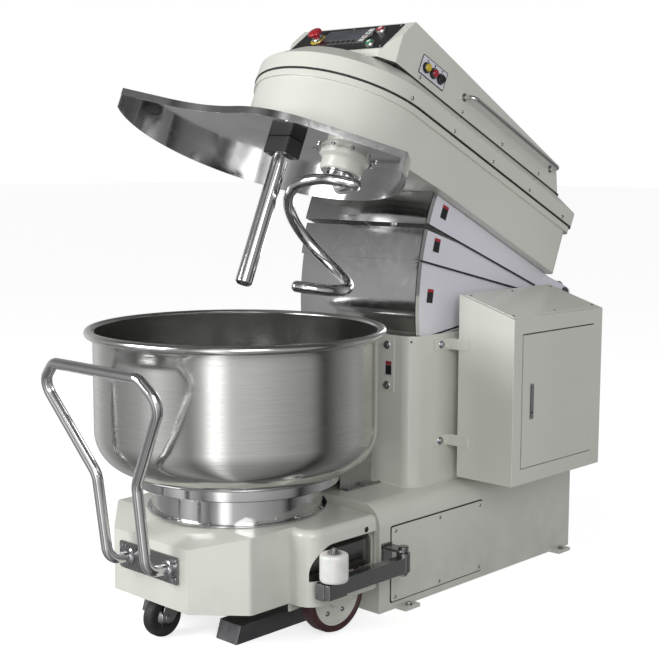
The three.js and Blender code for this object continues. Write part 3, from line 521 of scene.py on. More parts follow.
def combine(operation, first, *others):
    """Boolean of closed shapes; flat faces are merged again afterwards."""
    base = as_object(first)
    tools = [as_object(other) for other in others]
    for tool in tools:
        step = base.modifiers.new("step", "BOOLEAN")
        step.operation = operation
        step.solver = "EXACT"
        step.object = tool
    bpy.context.view_layer.update()
    result = bmesh.new()
    result.from_object(base, bpy.context.evaluated_depsgraph_get())
    for made in [base, *tools]:
        mesh = made.data
        bpy.data.objects.remove(made)
        bpy.data.meshes.remove(mesh)
    bmesh.ops.remove_doubles(result, verts=result.verts, dist=1e-3)
    bmesh.ops.dissolve_limit(result, angle_limit=math.radians(0.4), verts=result.verts, edges=result.edges)
    return result


join = functools.partial(combine, "UNION")
cut = functools.partial(combine, "DIFFERENCE")
common = functools.partial(combine, "INTERSECT")


def together(*shapes):
    """Several closed shapes in one piece, without a boolean."""
    result = bmesh.new()
    for shape in shapes:
        mesh = bpy.data.meshes.new("part")
        shape.to_mesh(mesh)
        shape.free()
        result.from_mesh(mesh)
        bpy.data.meshes.remove(mesh)
    return result


def softened(bm, width, segments=3, angle=38, chosen=None):
    """Rounds the edges sharper than an angle, or those that chosen(edge) picks."""
    def is_sharp(edge):
        return len(edge.link_faces) == 2 and edge.calc_face_angle(0) > math.radians(angle)
    edges = [e for e in bm.edges if is_sharp(e) and (chosen is None or chosen(e))]
    bmesh.ops.bevel(bm, geom=edges, offset=width, segments=segments, profile=0.5, affect="EDGES",
                    clamp_overlap=True)
    return bm


def piece(name, bm, body, slot, finish=None, place=REST, replaces=(), crease=32):
    """Puts a shape in its place, rides it on its body and gives it its material."""
    bmesh.ops.transform(bm, matrix=place, verts=bm.verts)
    mesh = bpy.data.meshes.new(name)
    bm.to_mesh(mesh)
    bm.free()
    mesh.polygons.foreach_set("use_smooth", [True] * len(mesh.polygons))
    mesh.set_sharp_from_angle(angle=math.radians(crease))
    mesh.materials.append(finishes[finish or slot])
    made = shown(name, mesh)
    weighted = made.modifiers.new("even_normals", "WEIGHTED_NORMAL")
    weighted.keep_sharp = True
    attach(made, body)
    if replaces:
        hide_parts(*replaces)


def both(name, make, bodies, slot, finish=None, place=REST, nodes=None):
    """A right-hand piece and its mirror image; {side} in bodies stands for right or left."""
    for side, shape in zip(("right", "left"), SIDES):
        body = bodies.format(side=side)
        stands_for = [f"{nodes}_{side}"] if nodes else []
        piece(f"{name}_{side}", turned_to(make(), shape), body, slot, finish, place, stands_for)


# ---------- fasteners ----------
def facing(at, normal):
    """A frame at a point whose Z axis is the normal."""
    return Matrix.Translation(at) @ Vector(normal).to_track_quat("Z", "Y").to_matrix().to_4x4()


def hex_bolt(at, normal, size=8, washer=True):
    """A hexagon head, bevelled on top, over a washer."""
    hexagon = circle(6, size, random.uniform(0, math.pi / 3))
    foot = 1.6 if washer else 0
    parts = [softened(prism("Z", hexagon, foot, foot + size * 0.75), size * 0.1, 2)]
    if washer:
        parts.append(lathe([(0, 0), (size * 1.45, 0), (size * 1.5, 0.6), (size * 1.4, 1.6), (0, 1.6)], 24))
    return turned_to(together(*parts), facing(at, normal))


def socket_screw(at, normal, size=6):
    """A domed screw head with a hexagonal socket."""
    dome = [(0, 0.2), (0.52, 0.2), (0.56, 0.52), (0.8, 0.44), (1, 0.2), (1.02, 0), (0, 0)]
    return turned_to(lathe([(size * r, size * z) for r, z in dome], 24), facing(at, normal))


def screws(name, body, places, kind=socket_screw, place=REST, **sizes):
    """One piece for all the like screws of a body; places are (point, normal) pairs."""
    heads = [kind(at, normal, **sizes) for at, normal in places]
    piece(name, together(*heads), body, "chrome", "bolt_steel", place)


def mirrored_places(places):
    """The places and their mirror images."""
    return places + [((-x, y, z), (-a, b, c)) for (x, y, z), (a, b, c) in places]


# ---------- base and column ----------
base_half, base_front, base_rear, base_top = 335, 275, 1302, 338
sheet = 6
tab_rows = (350, 1180)
arm_hinge = (405, 302)
lift_foot = (700, 392)
column_half, column_front = 268, 500


def arm_lugs():
    hx, hy = arm_hinge
    inner, reach = base_half - 2, 21
    plan = outline([(inner, hy - reach), (hx, hy - reach, 14), (hx + 23, hy, 20), (hx, hy + reach, 14),
                    (inner, hy + reach)], 6)
    lugs = [softened(prism("Z", plan, low, low + 8), 1) for low in (136, 206)]
    web = softened(block(inner, base_half + 8, hy - reach, hy + reach, 130, 220), 1)
    pin = lathe([(0, 132), (9, 132), (10, 134), (10, 216), (9, 218), (0, 218)], 32)
    head = lathe([(0, 214), (15, 214), (16, 216), (16, 222), (14, 224), (0, 224)], 32)
    return together(*lugs, web, moved(pin, hx, hy, 0), moved(head, hx, hy, 0))


def make_base():
    def skin(inset, low, shoulder):
        half = base_half - inset
        shape = rectangle(-half, low, half, base_top - inset, 0, shoulder, 14)
        return prism("Y", shape, base_front + inset, base_rear - inset)
    shell = softened(cut(skin(0, 0, 71), skin(sheet, -1, 65)), 2.5, 3)
    parts = [shell]
    for side in (-1, 1):
        for y in tab_rows:
            low, high = sorted((side * (base_half - 2), side * (base_half + 42)))
            parts.append(softened(block(low, high, y, y + 70, 0, 12), 2))
    lift_y, lift_z = lift_foot
    parts.append(softened(block(-60, 60, lift_y - 50, lift_y + 50, base_top - 1, 348), 1))
    for x in (-46, 38):
        parts.append(softened(block(x, x + 8, lift_y - 26, lift_y + 26, 347, 418), 1))
    parts.append(across(rod(11, -46, 46), 0, lift_y, lift_z))
    piece("base_casing", together(*parts), "base", "cream_paint", replaces=["base_shell"])
    both("arm_lugs", arm_lugs, "base", "stainless", "arm_steel")

    # The run of filler where the column meets the base.
    corners = [(-column_half, 1290, 0), (-column_half, column_front, 50), (column_half, column_front, 50),
               (column_half, 1290, 0)]
    path = bent([(x, y, base_top, radius) for x, y, radius in corners], steps=14)
    piece("column_weld", tube(path, 4, 10), "base", "cream_paint")

    def access_panel():
        shape = rectangle(327, 27, 780, 262, 8)
        return softened(prism("X", shape, base_half + 0.3, base_half + 3), 0.8, 2)

    # A black sheet showing round the access cover's edge: painted shade for the gap between cover and base.
    def panel_gap_shade():
        return prism("X", rectangle(322.5, 23, 783, 266.5, 9), base_half, base_half + 0.35)
    both("access_cover", access_panel, "base", "cream_paint", nodes="access_panel")
    both("access_gap_shade", panel_gap_shade, "base", "black_rubber")
    spots = [(y, z) for y in (344, 559, 766) for z in (40, 249)] + [(344, 150)]
    panel_screws = [((base_half + 3, y, z), (1, 0, 0)) for y, z in spots]
    screws("access_screws", "base", mirrored_places(panel_screws), size=5.5)

    def dock_rail():
        return softened(prism("X", [(-203, 0), (274.7, 0), (274.7, 55), (-185, 55)], 126, 215), 3, 3)
    both("floor_rail", dock_rail, "base", "dark_steel", nodes="dock_rail")
    anchors = [((side * (base_half + 24), y + 35, 12), (0, 0, 1)) for side in (-1, 1) for y in tab_rows]
    screws("floor_anchors", "base", anchors, hex_bolt, size=8)


def make_column():
    def solid(inset, low, high):
        half, front, rear = column_half - inset, column_front + inset, 1300 - inset
        return prism("Z", rectangle(-half, front, half, rear, 50 - inset, 12 - inset, 16), low, high)
    shell = cut(solid(0, 338.3, 823), solid(5, 330, 830))
    piece("column_casing", softened(shell, 1.6, 2), "base", "cream_paint", replaces=["column_shell"])

    # A strip with two bolts on each side of the front, and a plain two-colour plate on the right-hand one.
    front = column_front
    for side, x in (("left", -165), ("right", 165)):
        strip = prism("Y", rectangle(x - 28, 640, x + 26, 815, 4), front - 2.2, front + 1)
        piece(f"column_strip_{side}", softened(strip, 0.6, 2), "base", "cream_paint")
    plate = softened(block(146, 184, front - 3, front - 2, 690, 742), 0.3, 1)
    piece("plain_plate", plate, "base", "white_sheet", "white_plastic")
    for word, slot, low, high in (("red", "red_plastic", 727, 738), ("dark", "black_plastic", 695, 726)):
        piece(f"plain_plate_{word}", block(157, 181, front - 3.4, front - 3, low, high), "base", slot)
    bolts = [((x, front - 2.2, z), (0, -1, 0)) for x in (-161, 161) for z in (660, 790)]
    screws("column_bolts", "base", bolts, hex_bolt, size=9)


def make_bowl_drive():
    """The polished cover of the bowl's drive, cut round to clear the bowl, and its two feet."""
    half, rear, thick, foot_width = 118, 476, 4, 26
    shell = cut(block(-half, half, 330, rear, 338.3, 456),
                block(-half + thick, half - thick, 320, rear - thick, 330, 452), rod(333, 400, 500, 128))
    piece("drive_cover", softened(shell, 1.2, 2), "base", "stainless", "stainless_flat",
          replaces=["drive_guard"])
    foot_top = base_top + 2.4
    feet = [softened(block(x, x + foot_width, 336, 520, base_top + 0.2, foot_top), 0.6, 1)
            for x in (half, -half - foot_width)]
    piece("drive_cover_foot", together(*feet), "base", "stainless", "stainless_flat")
    spots = [(side * (half + foot_width / 2), y) for side in (-1, 1) for y in (352, 428, 506)]
    bolts = [((x, y, foot_top), (0, 0, 1)) for x, y in spots]
    screws("drive_cover_bolts", "base", bolts, hex_bolt, size=6.5)


# ---------- electrical cabinet ----------
box_x0, box_x1, box_y0, box_y1, box_z0, box_outer, box_inner = 310, 527, 675, 1176, 356, 885, 950
door_y0, door_y1, door_z0, door_z1 = 722, 1127, 406, 836
bracket_rows = (457, 770)


def make_cabinet():
    def solid(inset):
        x0, x1, z0 = box_x0 + inset, box_x1 - inset, box_z0 + inset
        shape = [(x0, z0), (x1, z0), (x1, box_outer - inset), (x0, box_inner - inset)]
        return prism("Y", shape, box_y0 + inset, box_y1 - inset)
    casing = cut(solid(0), solid(4), block(box_x1 - 20, box_x1 + 10, door_y0, door_y1, door_z0, door_z1))
    parts = [softened(casing, 2, 3)]
    for z in bracket_rows:
        for x1, y0, y1 in ((273, box_y0 - 70, box_y0 + 2), (box_x0 + 45, box_y0 - 5, box_y0 + 1)):
            parts.append(softened(block(268.3, x1, y0, y1, z, z + 36), 0.8, 2))
    piece("cabinet_casing", together(*parts), "base", "cream_paint", replaces=["cabinet_box"])

    # The roof is a separate sheet, screwed down along its edges.
    slope = (box_outer - box_inner) / (box_x1 - box_x0)
    border, lift = 16, 1.6
    x0, x1, y0, y1 = box_x0 + border, box_x1 - border, box_y0 + border, box_y1 - border

    def on_roof(x, y, up):
        return (x, y, box_inner + slope * (x - box_x0) + up)
    loops = [[on_roof(x, y, up) for x, y in ((x0, y0), (x1, y0), (x1, y1), (x0, y1))] for up in (-1, lift)]
    piece("cabinet_roof", softened(loft(loops), 0.7, 2), "base", "cream_paint")
    rows = [(x, y) for x in (x0 + 9, x1 - 9) for y in (y0 + 12, (y0 + y1) / 2, y1 - 12)]
    screws("cabinet_roof_screws", "base", [(on_roof(x, y, lift), (-slope, 0, 1)) for x, y in rows], size=4.5)
    slots = [softened(block(x, x + 10, box_y1 - 1, box_y1 + 0.6, z, z + 80), 0.3, 1)
             for z in (420, 760) for x in range(340, 340 + 9 * 18, 18)]
    piece("cabinet_vents", together(*slots), "base", "black_plastic")
    bolts = [((273, box_y0 - 40, z + 18), (1, 0, 0)) for z in bracket_rows]
    screws("bracket_bolts", "base", bolts, hex_bolt, size=9)

    def plate(inset, low, high):
        shape = rectangle(door_y0 + inset, door_z0 + inset, door_y1 - inset, door_z1 - inset)
        return prism("X", shape, box_x1 + low, box_x1 + high)

    door = cut(plate(3, -3, 2), block(box_x1 - 1.5, box_x1 + 5, 765, 779, 566, 672))
    piece("door_leaf", softened(door, 0.9, 2), "door", "cream_paint", replaces=["cabinet_door"])
    hollow = block(box_x1 - 9, box_x1, door_y0 + 16, door_y1 - 16, door_z0 + 16, door_z1 - 16)
    piece("door_seal", cut(plate(0.4, -7, -3.2), hollow), "door", "black_rubber")
    latch = prism("X", rectangle(766.5, 568.5, 777.5, 669.5, 3, steps=5), box_x1 - 1.2, box_x1 + 4.2)
    piece("latch_paddle", softened(latch, 0.8, 2), "latch", "chrome", "bolt_steel",
          replaces=["cabinet_latch"])
    lock = lathe([(0, 0), (3.6, 0), (3.6, 0.5), (2.9, 0.8), (0, 0.8)], 24)
    lock = turned_to(lock, facing((box_x1 + 4.2, 772, 584), (1, 0, 0)))
    piece("latch_lock", lock, "latch", "black_plastic")
    rim = prism("X", rectangle(761.5, 562, 782.5, 676, 5, steps=5), box_x1 + 2, box_x1 + 3.2)
    hole = prism("X", rectangle(765, 566, 779, 672, 3, steps=5), box_x1, box_x1 + 6)
    piece("latch_frame", cut(rim, hole), "door", "chrome", "bolt_steel")


# ---------- trolley ----------
deck_top, skirt_bottom = 335, 113
fender_front, fender_rear, fender_half, fender_inner, fender_corner = -74, 218, 385, 240, 60
sill, lintel, window_front, window_rear = 187, 288, -60, 208
wheel_radius, wheel_x, wheel_y = 113, 322, 80
caster_y, caster_trail, caster_radius = -250, 46, 60
roller_x, roller_y = 428, -25


def top_edges(level):
    return lambda edge: all(v.co.z > level for v in edge.verts)


def window_edges(edge):
    """The outer edges of the two windows in the fenders."""
    return all(abs(v.co.x) > fender_half - 1 and sill - 1 < v.co.z < lintel + 1
               and window_front - 1 < v.co.y < window_rear + 1 for v in edge.verts)


def above_roof(front, rear, half, low=None):
    """The space above the chassis's roof, which falls towards the front."""
    low = -half if low is None else low
    return prism("X", [(-360, front), (-215, rear), (-215, 400), (-360, 400)], low, half)


def make_chassis():
    def nose(inset, corner):
        slant = inset * 0.4
        half, tip = 300 - inset, 165 - slant
        points = [(-half, -222 + slant, corner), (-tip, -340 + inset, corner), (tip, -340 + inset, corner),
                  (half, -222 + slant, corner), (half, 205 - inset), (-half, 205 - inset)]
        return outline(points, 6)
    body = cut(prism("Z", nose(0, 18), skirt_bottom, deck_top), above_roof(290, deck_top + 1, 400))
    softened(body, 10, 5, angle=12, chosen=top_edges(250))
    softened(body, 2, 2, angle=40)

    def fender():
        plan = outline([(fender_inner, fender_front), (fender_half, fender_front, fender_corner),
                        (fender_half, fender_rear, 26), (fender_inner, fender_rear)], 12)
        solid = prism("Z", plan, skirt_bottom, deck_top)
        return softened(solid, 22, 8, angle=30, chosen=top_edges(deck_top - 1))

    def well():
        x0, x1, y0, y1 = 296, fender_half - sheet, fender_front + sheet, fender_rear - sheet
        plan = outline([(x0, y0), (x1, y0, fender_corner - sheet), (x1, y1, 20), (x0, y1)], 10)
        return prism("Z", plan, skirt_bottom - 1, deck_top - 24)

    def window():
        shape = outline([(window_front, sill), (window_rear, sill), (window_rear, lintel),
                         (window_front, lintel, 80)], 14)
        return prism("X", shape, fender_half - 28, fender_half + 1)
    outside = join(body, *mirrored(fender))
    room = cut(prism("Z", nose(sheet, 14), skirt_bottom - 1, deck_top - sheet),
               above_roof(283, deck_top - sheet, 400))
    shell = cut(outside, room, *mirrored(well), *mirrored(window))
    softened(shell, 1.6, 2, angle=60, chosen=window_edges)
    parts = [shell, block(-96, 96, -333, -160, 178, 184)]
    for side in SIDES:
        parts.append(turned_to(softened(block(284, 291, -66, 200, 84, 328), 1.5), side))
        stub = lathe([(0, 286), (15, 286), (15, 350), (13, 352), (0, 352)], 32)
        parts.append(turned_to(across(stub, 0, wheel_y, wheel_radius), side))
        rib = cut(block(92, 100, -333, 199, 176, 328), above_roof(286, 332, 120, 80))
        parts.append(turned_to(rib, side))
    piece("chassis_casing", together(*parts), "trolley", "cream_paint", replaces=["trolley_chassis"],
          crease=28)

    def wheel_plate():
        """The dark sheet behind the window, rolled inward at its top."""
        line = [(354, sill - 6), (354, 250), *arc((338, 250), 16, 0, 62, 8)[1:], (331, 283)]
        back = [(x - 3, z - 1) for x, z in reversed(line)]
        return prism("Y", line + back, -58, fender_rear - 7)
    both("wheel_plate", wheel_plate, "trolley", "cream_paint", "black_steel")
    plugs = [turned_to(lathe([(0, 0.1), (7.5, 0.1), (8.6, 0.35), (0, 0.35)], 32),
                       facing((side * fender_half, 158, 300), (side, 0, 0))) for side in (-1, 1)]
    piece("fender_plugs", together(*plugs), "trolley", "black_rubber")


def make_wheels():
    tyre = [(92, -20), (98, -24.5), (104, -25), (110, -22), (wheel_radius, -14)]
    tyre += [(r, -z) for r, z in reversed(tyre)]
    hub = [(15.8, -24), (34, -24), (38, -20), (40, -12), (84, -10), (88, -18), (92, -19.5)]
    hub += [(r, -z) for r, z in reversed(hub)]
    for side, sign in (("right", 1), ("left", -1)):
        at = (sign * wheel_x, wheel_y, wheel_radius)
        piece(f"tyre_{side}", across(lathe(tyre, 96, True), *at), f"wheel_{side}", "tyre_rubber",
              replaces=[f"trolley_wheel_{side}"])
        piece(f"hub_{side}", across(lathe(hub, 72, True), *at), f"wheel_{side}", "cream_paint")
        face = sign * (wheel_x + 10)
        bolts = [((face, wheel_y + a, wheel_radius + b), (sign, 0, 0)) for a, b in circle(6, 62)]
        screws(f"hub_bolts_{side}", f"wheel_{side}", bolts, hex_bolt, size=5.5)
        cap = turned_to(lathe([(0, 0), (13, 0), (14, 1), (13, 4), (9, 5), (0, 5)], 32),
                        facing((sign * 346, wheel_y, wheel_radius), (sign, 0, 0)))
        piece(f"axle_cap_{side}", cap, "trolley", "chrome", "bolt_steel")


def make_caster():
    crown = lathe([(0, 166), (45, 166), (46, 168), (46, 176), (45, 177.7), (0, 177.7)], 48)
    axle_y = -caster_trail
    cheek = outline([(-30, 168), (30, 168), (26, 118, 20), (axle_y + 16, 44, 16), (axle_y - 16, 44, 16),
                     (axle_y - 18, 80, 20)], 6)
    cheeks = [softened(prism("X", cheek, x, x + 6), 1.5, 2) for x in (-30, 24)]
    bridge = softened(block(-30, 30, -34, 30, 152, 169), 4, 3)
    axle = turned_to(lathe([(0, -34), (5, -34), (6, -33), (6, 33), (5, 34), (0, 34)], 24), ALONG_X)
    nuts = [hex_bolt((x, 0, 0), (x, 0, 0)) for x in (-30, 30)]
    parts = together(crown, *cheeks, bridge, moved(together(axle, *nuts), 0, axle_y, caster_radius))
    place = REST @ Matrix.Translation((0, caster_y, 0))
    piece("caster_fork_steel", parts, "caster_swivel", "dark_steel", "stainless_flat", place, ["caster_fork"])
    tread = [(30, -18), (47, -20), (53, -19), (58, -15), (caster_radius, -8)]
    tread += [(r, -z) for r, z in reversed(tread)]
    hub = [(6.6, -20.5), (14, -20.5), (17, -17), (28, -11), (31, -17)]
    hub += [(r, -z) for r, z in reversed(hub)]
    at = (0, axle_y, caster_radius)
    piece("caster_tread", across(lathe(tread, 72, True), *at), "caster_roller", "black_rubber", place=place,
          replaces=["caster_wheel"])
    piece("caster_hub", across(lathe(hub, 48, True), *at), "caster_roller", "dark_steel", "bolt_steel", place)


def make_push_handle():
    back = -340.3
    front, foot_z = back - 6, 229
    plate = softened(prism("Y", rectangle(-131, 190, 131, 270, 8, steps=6), front, back), 1.5, 2)
    legs = [(87, back - 4, foot_z, 0), (87, -420, 236, 46), (90, -452, 490, 60), (262, -506, 742, 48),
            (190, -521, 804, 46)]
    route = legs + [(-x, y, z, r) for x, y, z, r in reversed(legs)]
    piece("handle_bar", tube(bent(route, steps=14), 16, 28), "trolley", "chrome", replaces=["push_handle"])
    piece("handle_plate", plate, "trolley", "chrome", "arm_steel")
    weld = [(15.5, 0), (25, 0), (25.5, 2), (22, 4), (18, 6.5), (16, 10), (15.5, 10)]
    welds = [turned_to(lathe(weld, 40, True), facing((x, front, foot_z), (0, -1, 0.06))) for x in (-87, 87)]
    piece("handle_welds", together(*welds), "trolley", "chrome", "bolt_steel")
    bolts = [((x, front, z), (0, -1, 0)) for x in (-113, 113) for z in (204, 256)]
    screws("handle_bolts", "trolley", bolts, hex_bolt, size=8.5)


def make_bowl():
    wall, top, bottom, corner, thick, rim, bead = 425, 880, 457, 120, 4, 450, 12.5
    inner = wall - thick
    centre = (wall - corner, bottom + corner)
    outside = arc(centre, corner, -90, 0, 20)
    inside = arc(centre, corner - thick, 0, -90, 20)
    neck = [(wall, top - 60), (wall, top - 40), (wall + 2, top - 30)]
    roll = arc((rim - bead, top - bead), bead, -135, 168, 26)
    lip = [(inner, top - 9), (inner, top - 30), (inner, top - 60)]
    profile = [(0, bottom), (160, bottom), *outside, (wall, 640), (wall, 740), *neck, *roll, *lip,
               (inner, 700), *inside, (160, bottom + thick), (0, bottom + thick)]
    piece("bowl_skin", lathe(profile, 160), "bowl_unit", "stainless", "stainless_bowl", replaces=["bowl"],
          crease=40)

    ring = [(236, 420), (300, 420), (308, 420), (310.5, 422), (311, 425), (311, 450), (310, 454),
            (307, 456.5), (236, 456.5)]
    piece("bowl_ring", lathe(ring, 128, True), "bowl_unit", "stainless", "stainless_mirror",
          replaces=["bowl_drive_ring"])
    seam = lathe(arc((333, 459), 3.4, 0, 360, 10)[:-1], 128, True)
    piece("bowl_weld", seam, "bowl_unit", "stainless", "stainless_flat")
    stand = [(244, 335.3), (270, 335.3), (272, 337), (272, 341), (270, 342.5), (259, 342.5), (258, 345),
             (258, 417), (256.5, 418.7), (244, 418.7)]
    piece("bearing_stand", lathe(stand, 128, True), "trolley", "stainless", "stainless_mirror",
          replaces=["bowl_stand"])
    bolts = [((x, y, 342.5), (0, 0, 1)) for x, y in circle(12, 265)]
    screws("stand_bolts", "trolley", bolts, hex_bolt, size=4.5, washer=False)


def make_dock_arms():
    hx, hy = arm_hinge

    def arm():
        eye = lathe([(10.4, 146), (21, 146), (21, 204), (10.4, 204)], 40, True)
        bar = softened(block(hx - 12, hx + 22, -66, hy - 14, 146, 194), 2, 3)
        foot = softened(block(hx - 10, roller_x + 18, -62, 12, 150, 193.6), 2, 3)
        pin = lathe([(0, 193), (9, 193), (9, 286), (7.5, 292), (0, 292)], 32)
        collar = lathe([(0, 278.5), (17, 278.5), (18, 279.5), (18, 282), (17, 283), (0, 283)], 40)
        washer = lathe([(0, 193), (19, 193), (20, 194), (20, 196), (19, 196.8), (0, 196.8)], 40)
        top = [moved(s, roller_x, roller_y, 0) for s in (pin, collar, washer)]
        link = softened(block(hx - 12, hx + 12, hy - 40, hy - 18, 150, 190), 1)
        return together(moved(eye, hx, hy, 0), bar, foot, link, *top)
    both("arm_steel", arm, "arm_{side}", "stainless", "arm_steel", nodes="dock_arm")

    def roller():
        section = [(9.4, 197.3), (34, 197.3), (38.5, 199), (40.6, 203), (41, 208), (41, 267), (40.6, 272),
                   (38.5, 276), (34, 277.7), (22, 277.7), (21, 275.5), (9.4, 275.5)]
        return moved(lathe(section, 96, True), roller_x, roller_y, 0)
    both("roller_nylon", roller, "roller_{side}", "nylon", nodes="dock_roller")


# ---------- head ----------
head_half, nose_y, head_floor, body_rear = 300, 310, 960, 1209
seam_at_bowl, seam_slope = 1153.6, 0.0384
band, rise, run, bonnet_rear = 53, 52, 65, 1234
bonnet_top = band + rise
cover_half, cover_chamfer, cover_front, cover_rear = 240, 43, 170, 1188
slope_run, slope_low, slope_top = 80, 1285, 1412
pivot_y, pivot_z = 1345, 905
rail_feet = ((562, 1303), (1105, 1281))
seam_angle = math.atan(seam_slope)
ON_SEAM = Matrix.Translation((0, 0, seam_at_bowl)) @ Matrix.Rotation(-seam_angle, 4, "X")
spiral_x, spiral_y, bar_y, bar_radius, tool_bottom = 145, 210, 90, 26, 487


def head_piece(name, bm, slot, finish=None, place=HEAD, **facts):
    piece(name, bm, "head", slot, finish, place, **facts)


def seam_height(y):
    return seam_at_bowl - seam_slope * y


def head_plan(half, rear, corner):
    nose = arc((0, nose_y), half, 180, 360, 56)
    back = outline([(half, rear - 60), (half, rear, corner), (-half, rear, corner), (-half, rear - 60)], 6)
    return nose + [(half, 700), *back, (-half, 700)]


def head_screws(name, half, height, ys):
    places = [((half, y, seam_height(y) + height), (1, 0, 0)) for y in ys]
    screws(name, "head", mirrored_places(places), place=HEAD, size=5.5)


def make_head_body():
    def solid(inset, corner, floor, rear, top):
        plan = prism("Z", head_plan(head_half - inset, body_rear - inset, corner), 800, 1300)
        side = [(-100, floor), (520, floor), (rear, floor - 33), (rear, seam_height(rear) + top),
                (-100, seam_height(-100) + top)]
        return common(plan, prism("X", side, -400, 400))
    housing_hole = moved(rod(80, 900, 1000, 64), spiral_x, spiral_y, 0)
    shell = cut(solid(0, 25, head_floor, body_rear + 1, -3), solid(5, 20, head_floor + 6, body_rear, 40),
                housing_hole)
    softened(shell, 2.5, 3, angle=50)
    lip = turned_to(cut(
        prism("Z", head_plan(head_half + 6, body_rear + 20, 28), -24, -3),
        prism("Z", head_plan(head_half - 3, body_rear - 3, 22), -30, 3)), ON_SEAM)
    softened(lip, 1.5, 2, angle=50)

    def lug():
        shape = outline([(1150, 945), (1190, 1060), (1300, 985), (pivot_y + 30, pivot_z + 30, 25),
                         (pivot_y + 38, pivot_z - 30, 25), (pivot_y - 20, pivot_z - 40, 20), (1215, 922),
                         (1180, 932)])
        bore = across(rod(20.3, -200, 200, 40), 0, pivot_y, pivot_z)
        return softened(cut(prism("X", shape, 120, 165), bore), 2, 2)
    lugs = mirrored(lug)
    cheek = outline([(620, head_floor), (700, head_floor), (680, 908, 12), (640, 908, 12)])
    cheeks = [softened(prism("X", cheek, x, x + 8), 1) for x in (-34, 26)]
    head_piece("head_casing", together(shell, lip, *lugs, *cheeks), "cream_paint", replaces=["head_body"],
               crease=28)

    gasket = cut(prism("Z", head_plan(head_half + 9, bonnet_rear + 1, 28), -2.7, 2.7),
                 prism("Z", head_plan(head_half - 8, body_rear - 8, 20), -4, 4))
    head_piece("seal_strip", softened(gasket, 1, 2, angle=50), "black_rubber", place=HEAD @ ON_SEAM,
               replaces=["head_seal"])


def make_bonnet():
    def bell(half, rear, low, lift):
        levels = [(half, rear, low), (half, rear, band + lift), (half - run, rear - run, bonnet_top + lift)]
        return loft([[(x, y, z) for x, y in head_plan(h, r, 24)] for h, r, z in levels])
    wall = 5
    shell = cut(bell(head_half + 8, bonnet_rear, 3, 0), bell(head_half + 3, bonnet_rear - wall, -5, -wall),
                block(-150, 150, 400, 900, 60, 200))
    head_piece("bonnet_sheet", softened(shell, 3.5, 3, angle=25), "cream_paint", place=HEAD @ ON_SEAM,
               replaces=["head_bonnet"], crease=24)
    head_screws("bonnet_screws", head_half + 8, 14, (256, 480, 703, 930, 1152))


def cover_plan(inset):
    half, front, back = cover_half - inset, cover_front - 0.5 + inset, 1300
    return [(-half + cover_chamfer, front), (half - cover_chamfer, front), (half, front + cover_chamfer),
            (half, back), (-half, back), (-half, front + cover_chamfer)]


def make_cover():
    def solid(inset):
        def foot(y):
            return seam_height(y) + bonnet_top + 0.3 - inset * 20
        front, rear = cover_front + inset, cover_rear - inset
        side = outline([(front, foot(cover_front)), (front, slope_low),
                        (front + slope_run, slope_top - inset, 8), (rear - 55, 1314 - inset, 12),
                        (rear, foot(cover_rear))], 6)
        return common(prism("X", side, -260, 260), prism("Z", cover_plan(inset), 1100, 1500))
    shell = softened(cut(solid(0), solid(4)), 4, 4, angle=14)
    head_piece("cover_sheet", shell, "cream_paint", replaces=["head_cover"], crease=24)

    def strip(low, high, grow):
        """A black band along the seam between cover and bonnet, painted shade standing in for the shadowed gap
        there.
        """
        near, far = seam_height(60) + bonnet_top, seam_height(1250) + bonnet_top
        side = [(60, near + low), (1250, far + low), (1250, far + high), (60, near + high)]
        plan = [(x, min(y, cover_rear + 1.6)) for x, y in cover_plan(-grow)]
        return common(prism("X", side, -300, 300), prism("Z", plan, 1100, 1500))
    # Painted shade: a black band for the shadowed gap at the cover's foot.
    head_piece("cover_gap_shade", cut(strip(0.2, 6.5, 1.4), strip(-2, 9, -3)), "black_rubber")
    head_screws("cover_screws", cover_half, bonnet_top + 20, (334, 570, 810, 1045))
    slot = cut(prism("X", rectangle(cover_rear - 18, 1262, cover_rear + 0.8, 1272), -150, 150),
               block(-160, 160, 1000, cover_rear - 0.5, 1200, 1300))
    head_piece("cover_rear_slot", slot, "black_plastic")


def make_grab_rails():
    def rail():
        inner, outer = cover_half + 0.3, 279
        (front, front_z), (rear, rear_z) = rail_feet
        line = [(inner, front, front_z, 0), (outer, front, front_z, 22), (outer, rear, rear_z, 22),
                (inner, rear, rear_z, 0)]
        return tube(bent(line), 7.3)
    both("rail_tube", rail, "head", "chrome", place=HEAD, nodes="grab_rail")
    foot = [(7.3, 0), (13, 0), (13.4, 1.2), (11, 2.6), (7.3, 3.4)]
    feet = [turned_to(lathe(foot, 32, True), facing((side * (cover_half + 0.2), y, z), (side, 0, 0)))
            for y, z in rail_feet for side in (-1, 1)]
    head_piece("rail_feet", together(*feet), "chrome", "bolt_steel")


# ---------- controls ----------
def button_cap(radius, low, high):
    """A shallow domed cap on its stem; it rides on its own body."""
    foot = 3.3
    return lathe([(0, foot), (radius * 0.6, foot), (radius * 0.6, low), (radius - 0.8, low),
                  (radius, low + 1), (radius, high - 1.6), (radius - 1.4, high - 0.3),
                  (radius * 0.5, high - 0.9), (0, high - 1.2)], 40)


def collar(radius, height):
    """The fixed ring that a button stands in."""
    return lathe([(radius + 0.7, 0.2), (radius + 5.5, 0.2), (radius + 5.5, height * 0.4),
                  (radius + 3.4, height), (radius + 0.7, height)], 48, True)


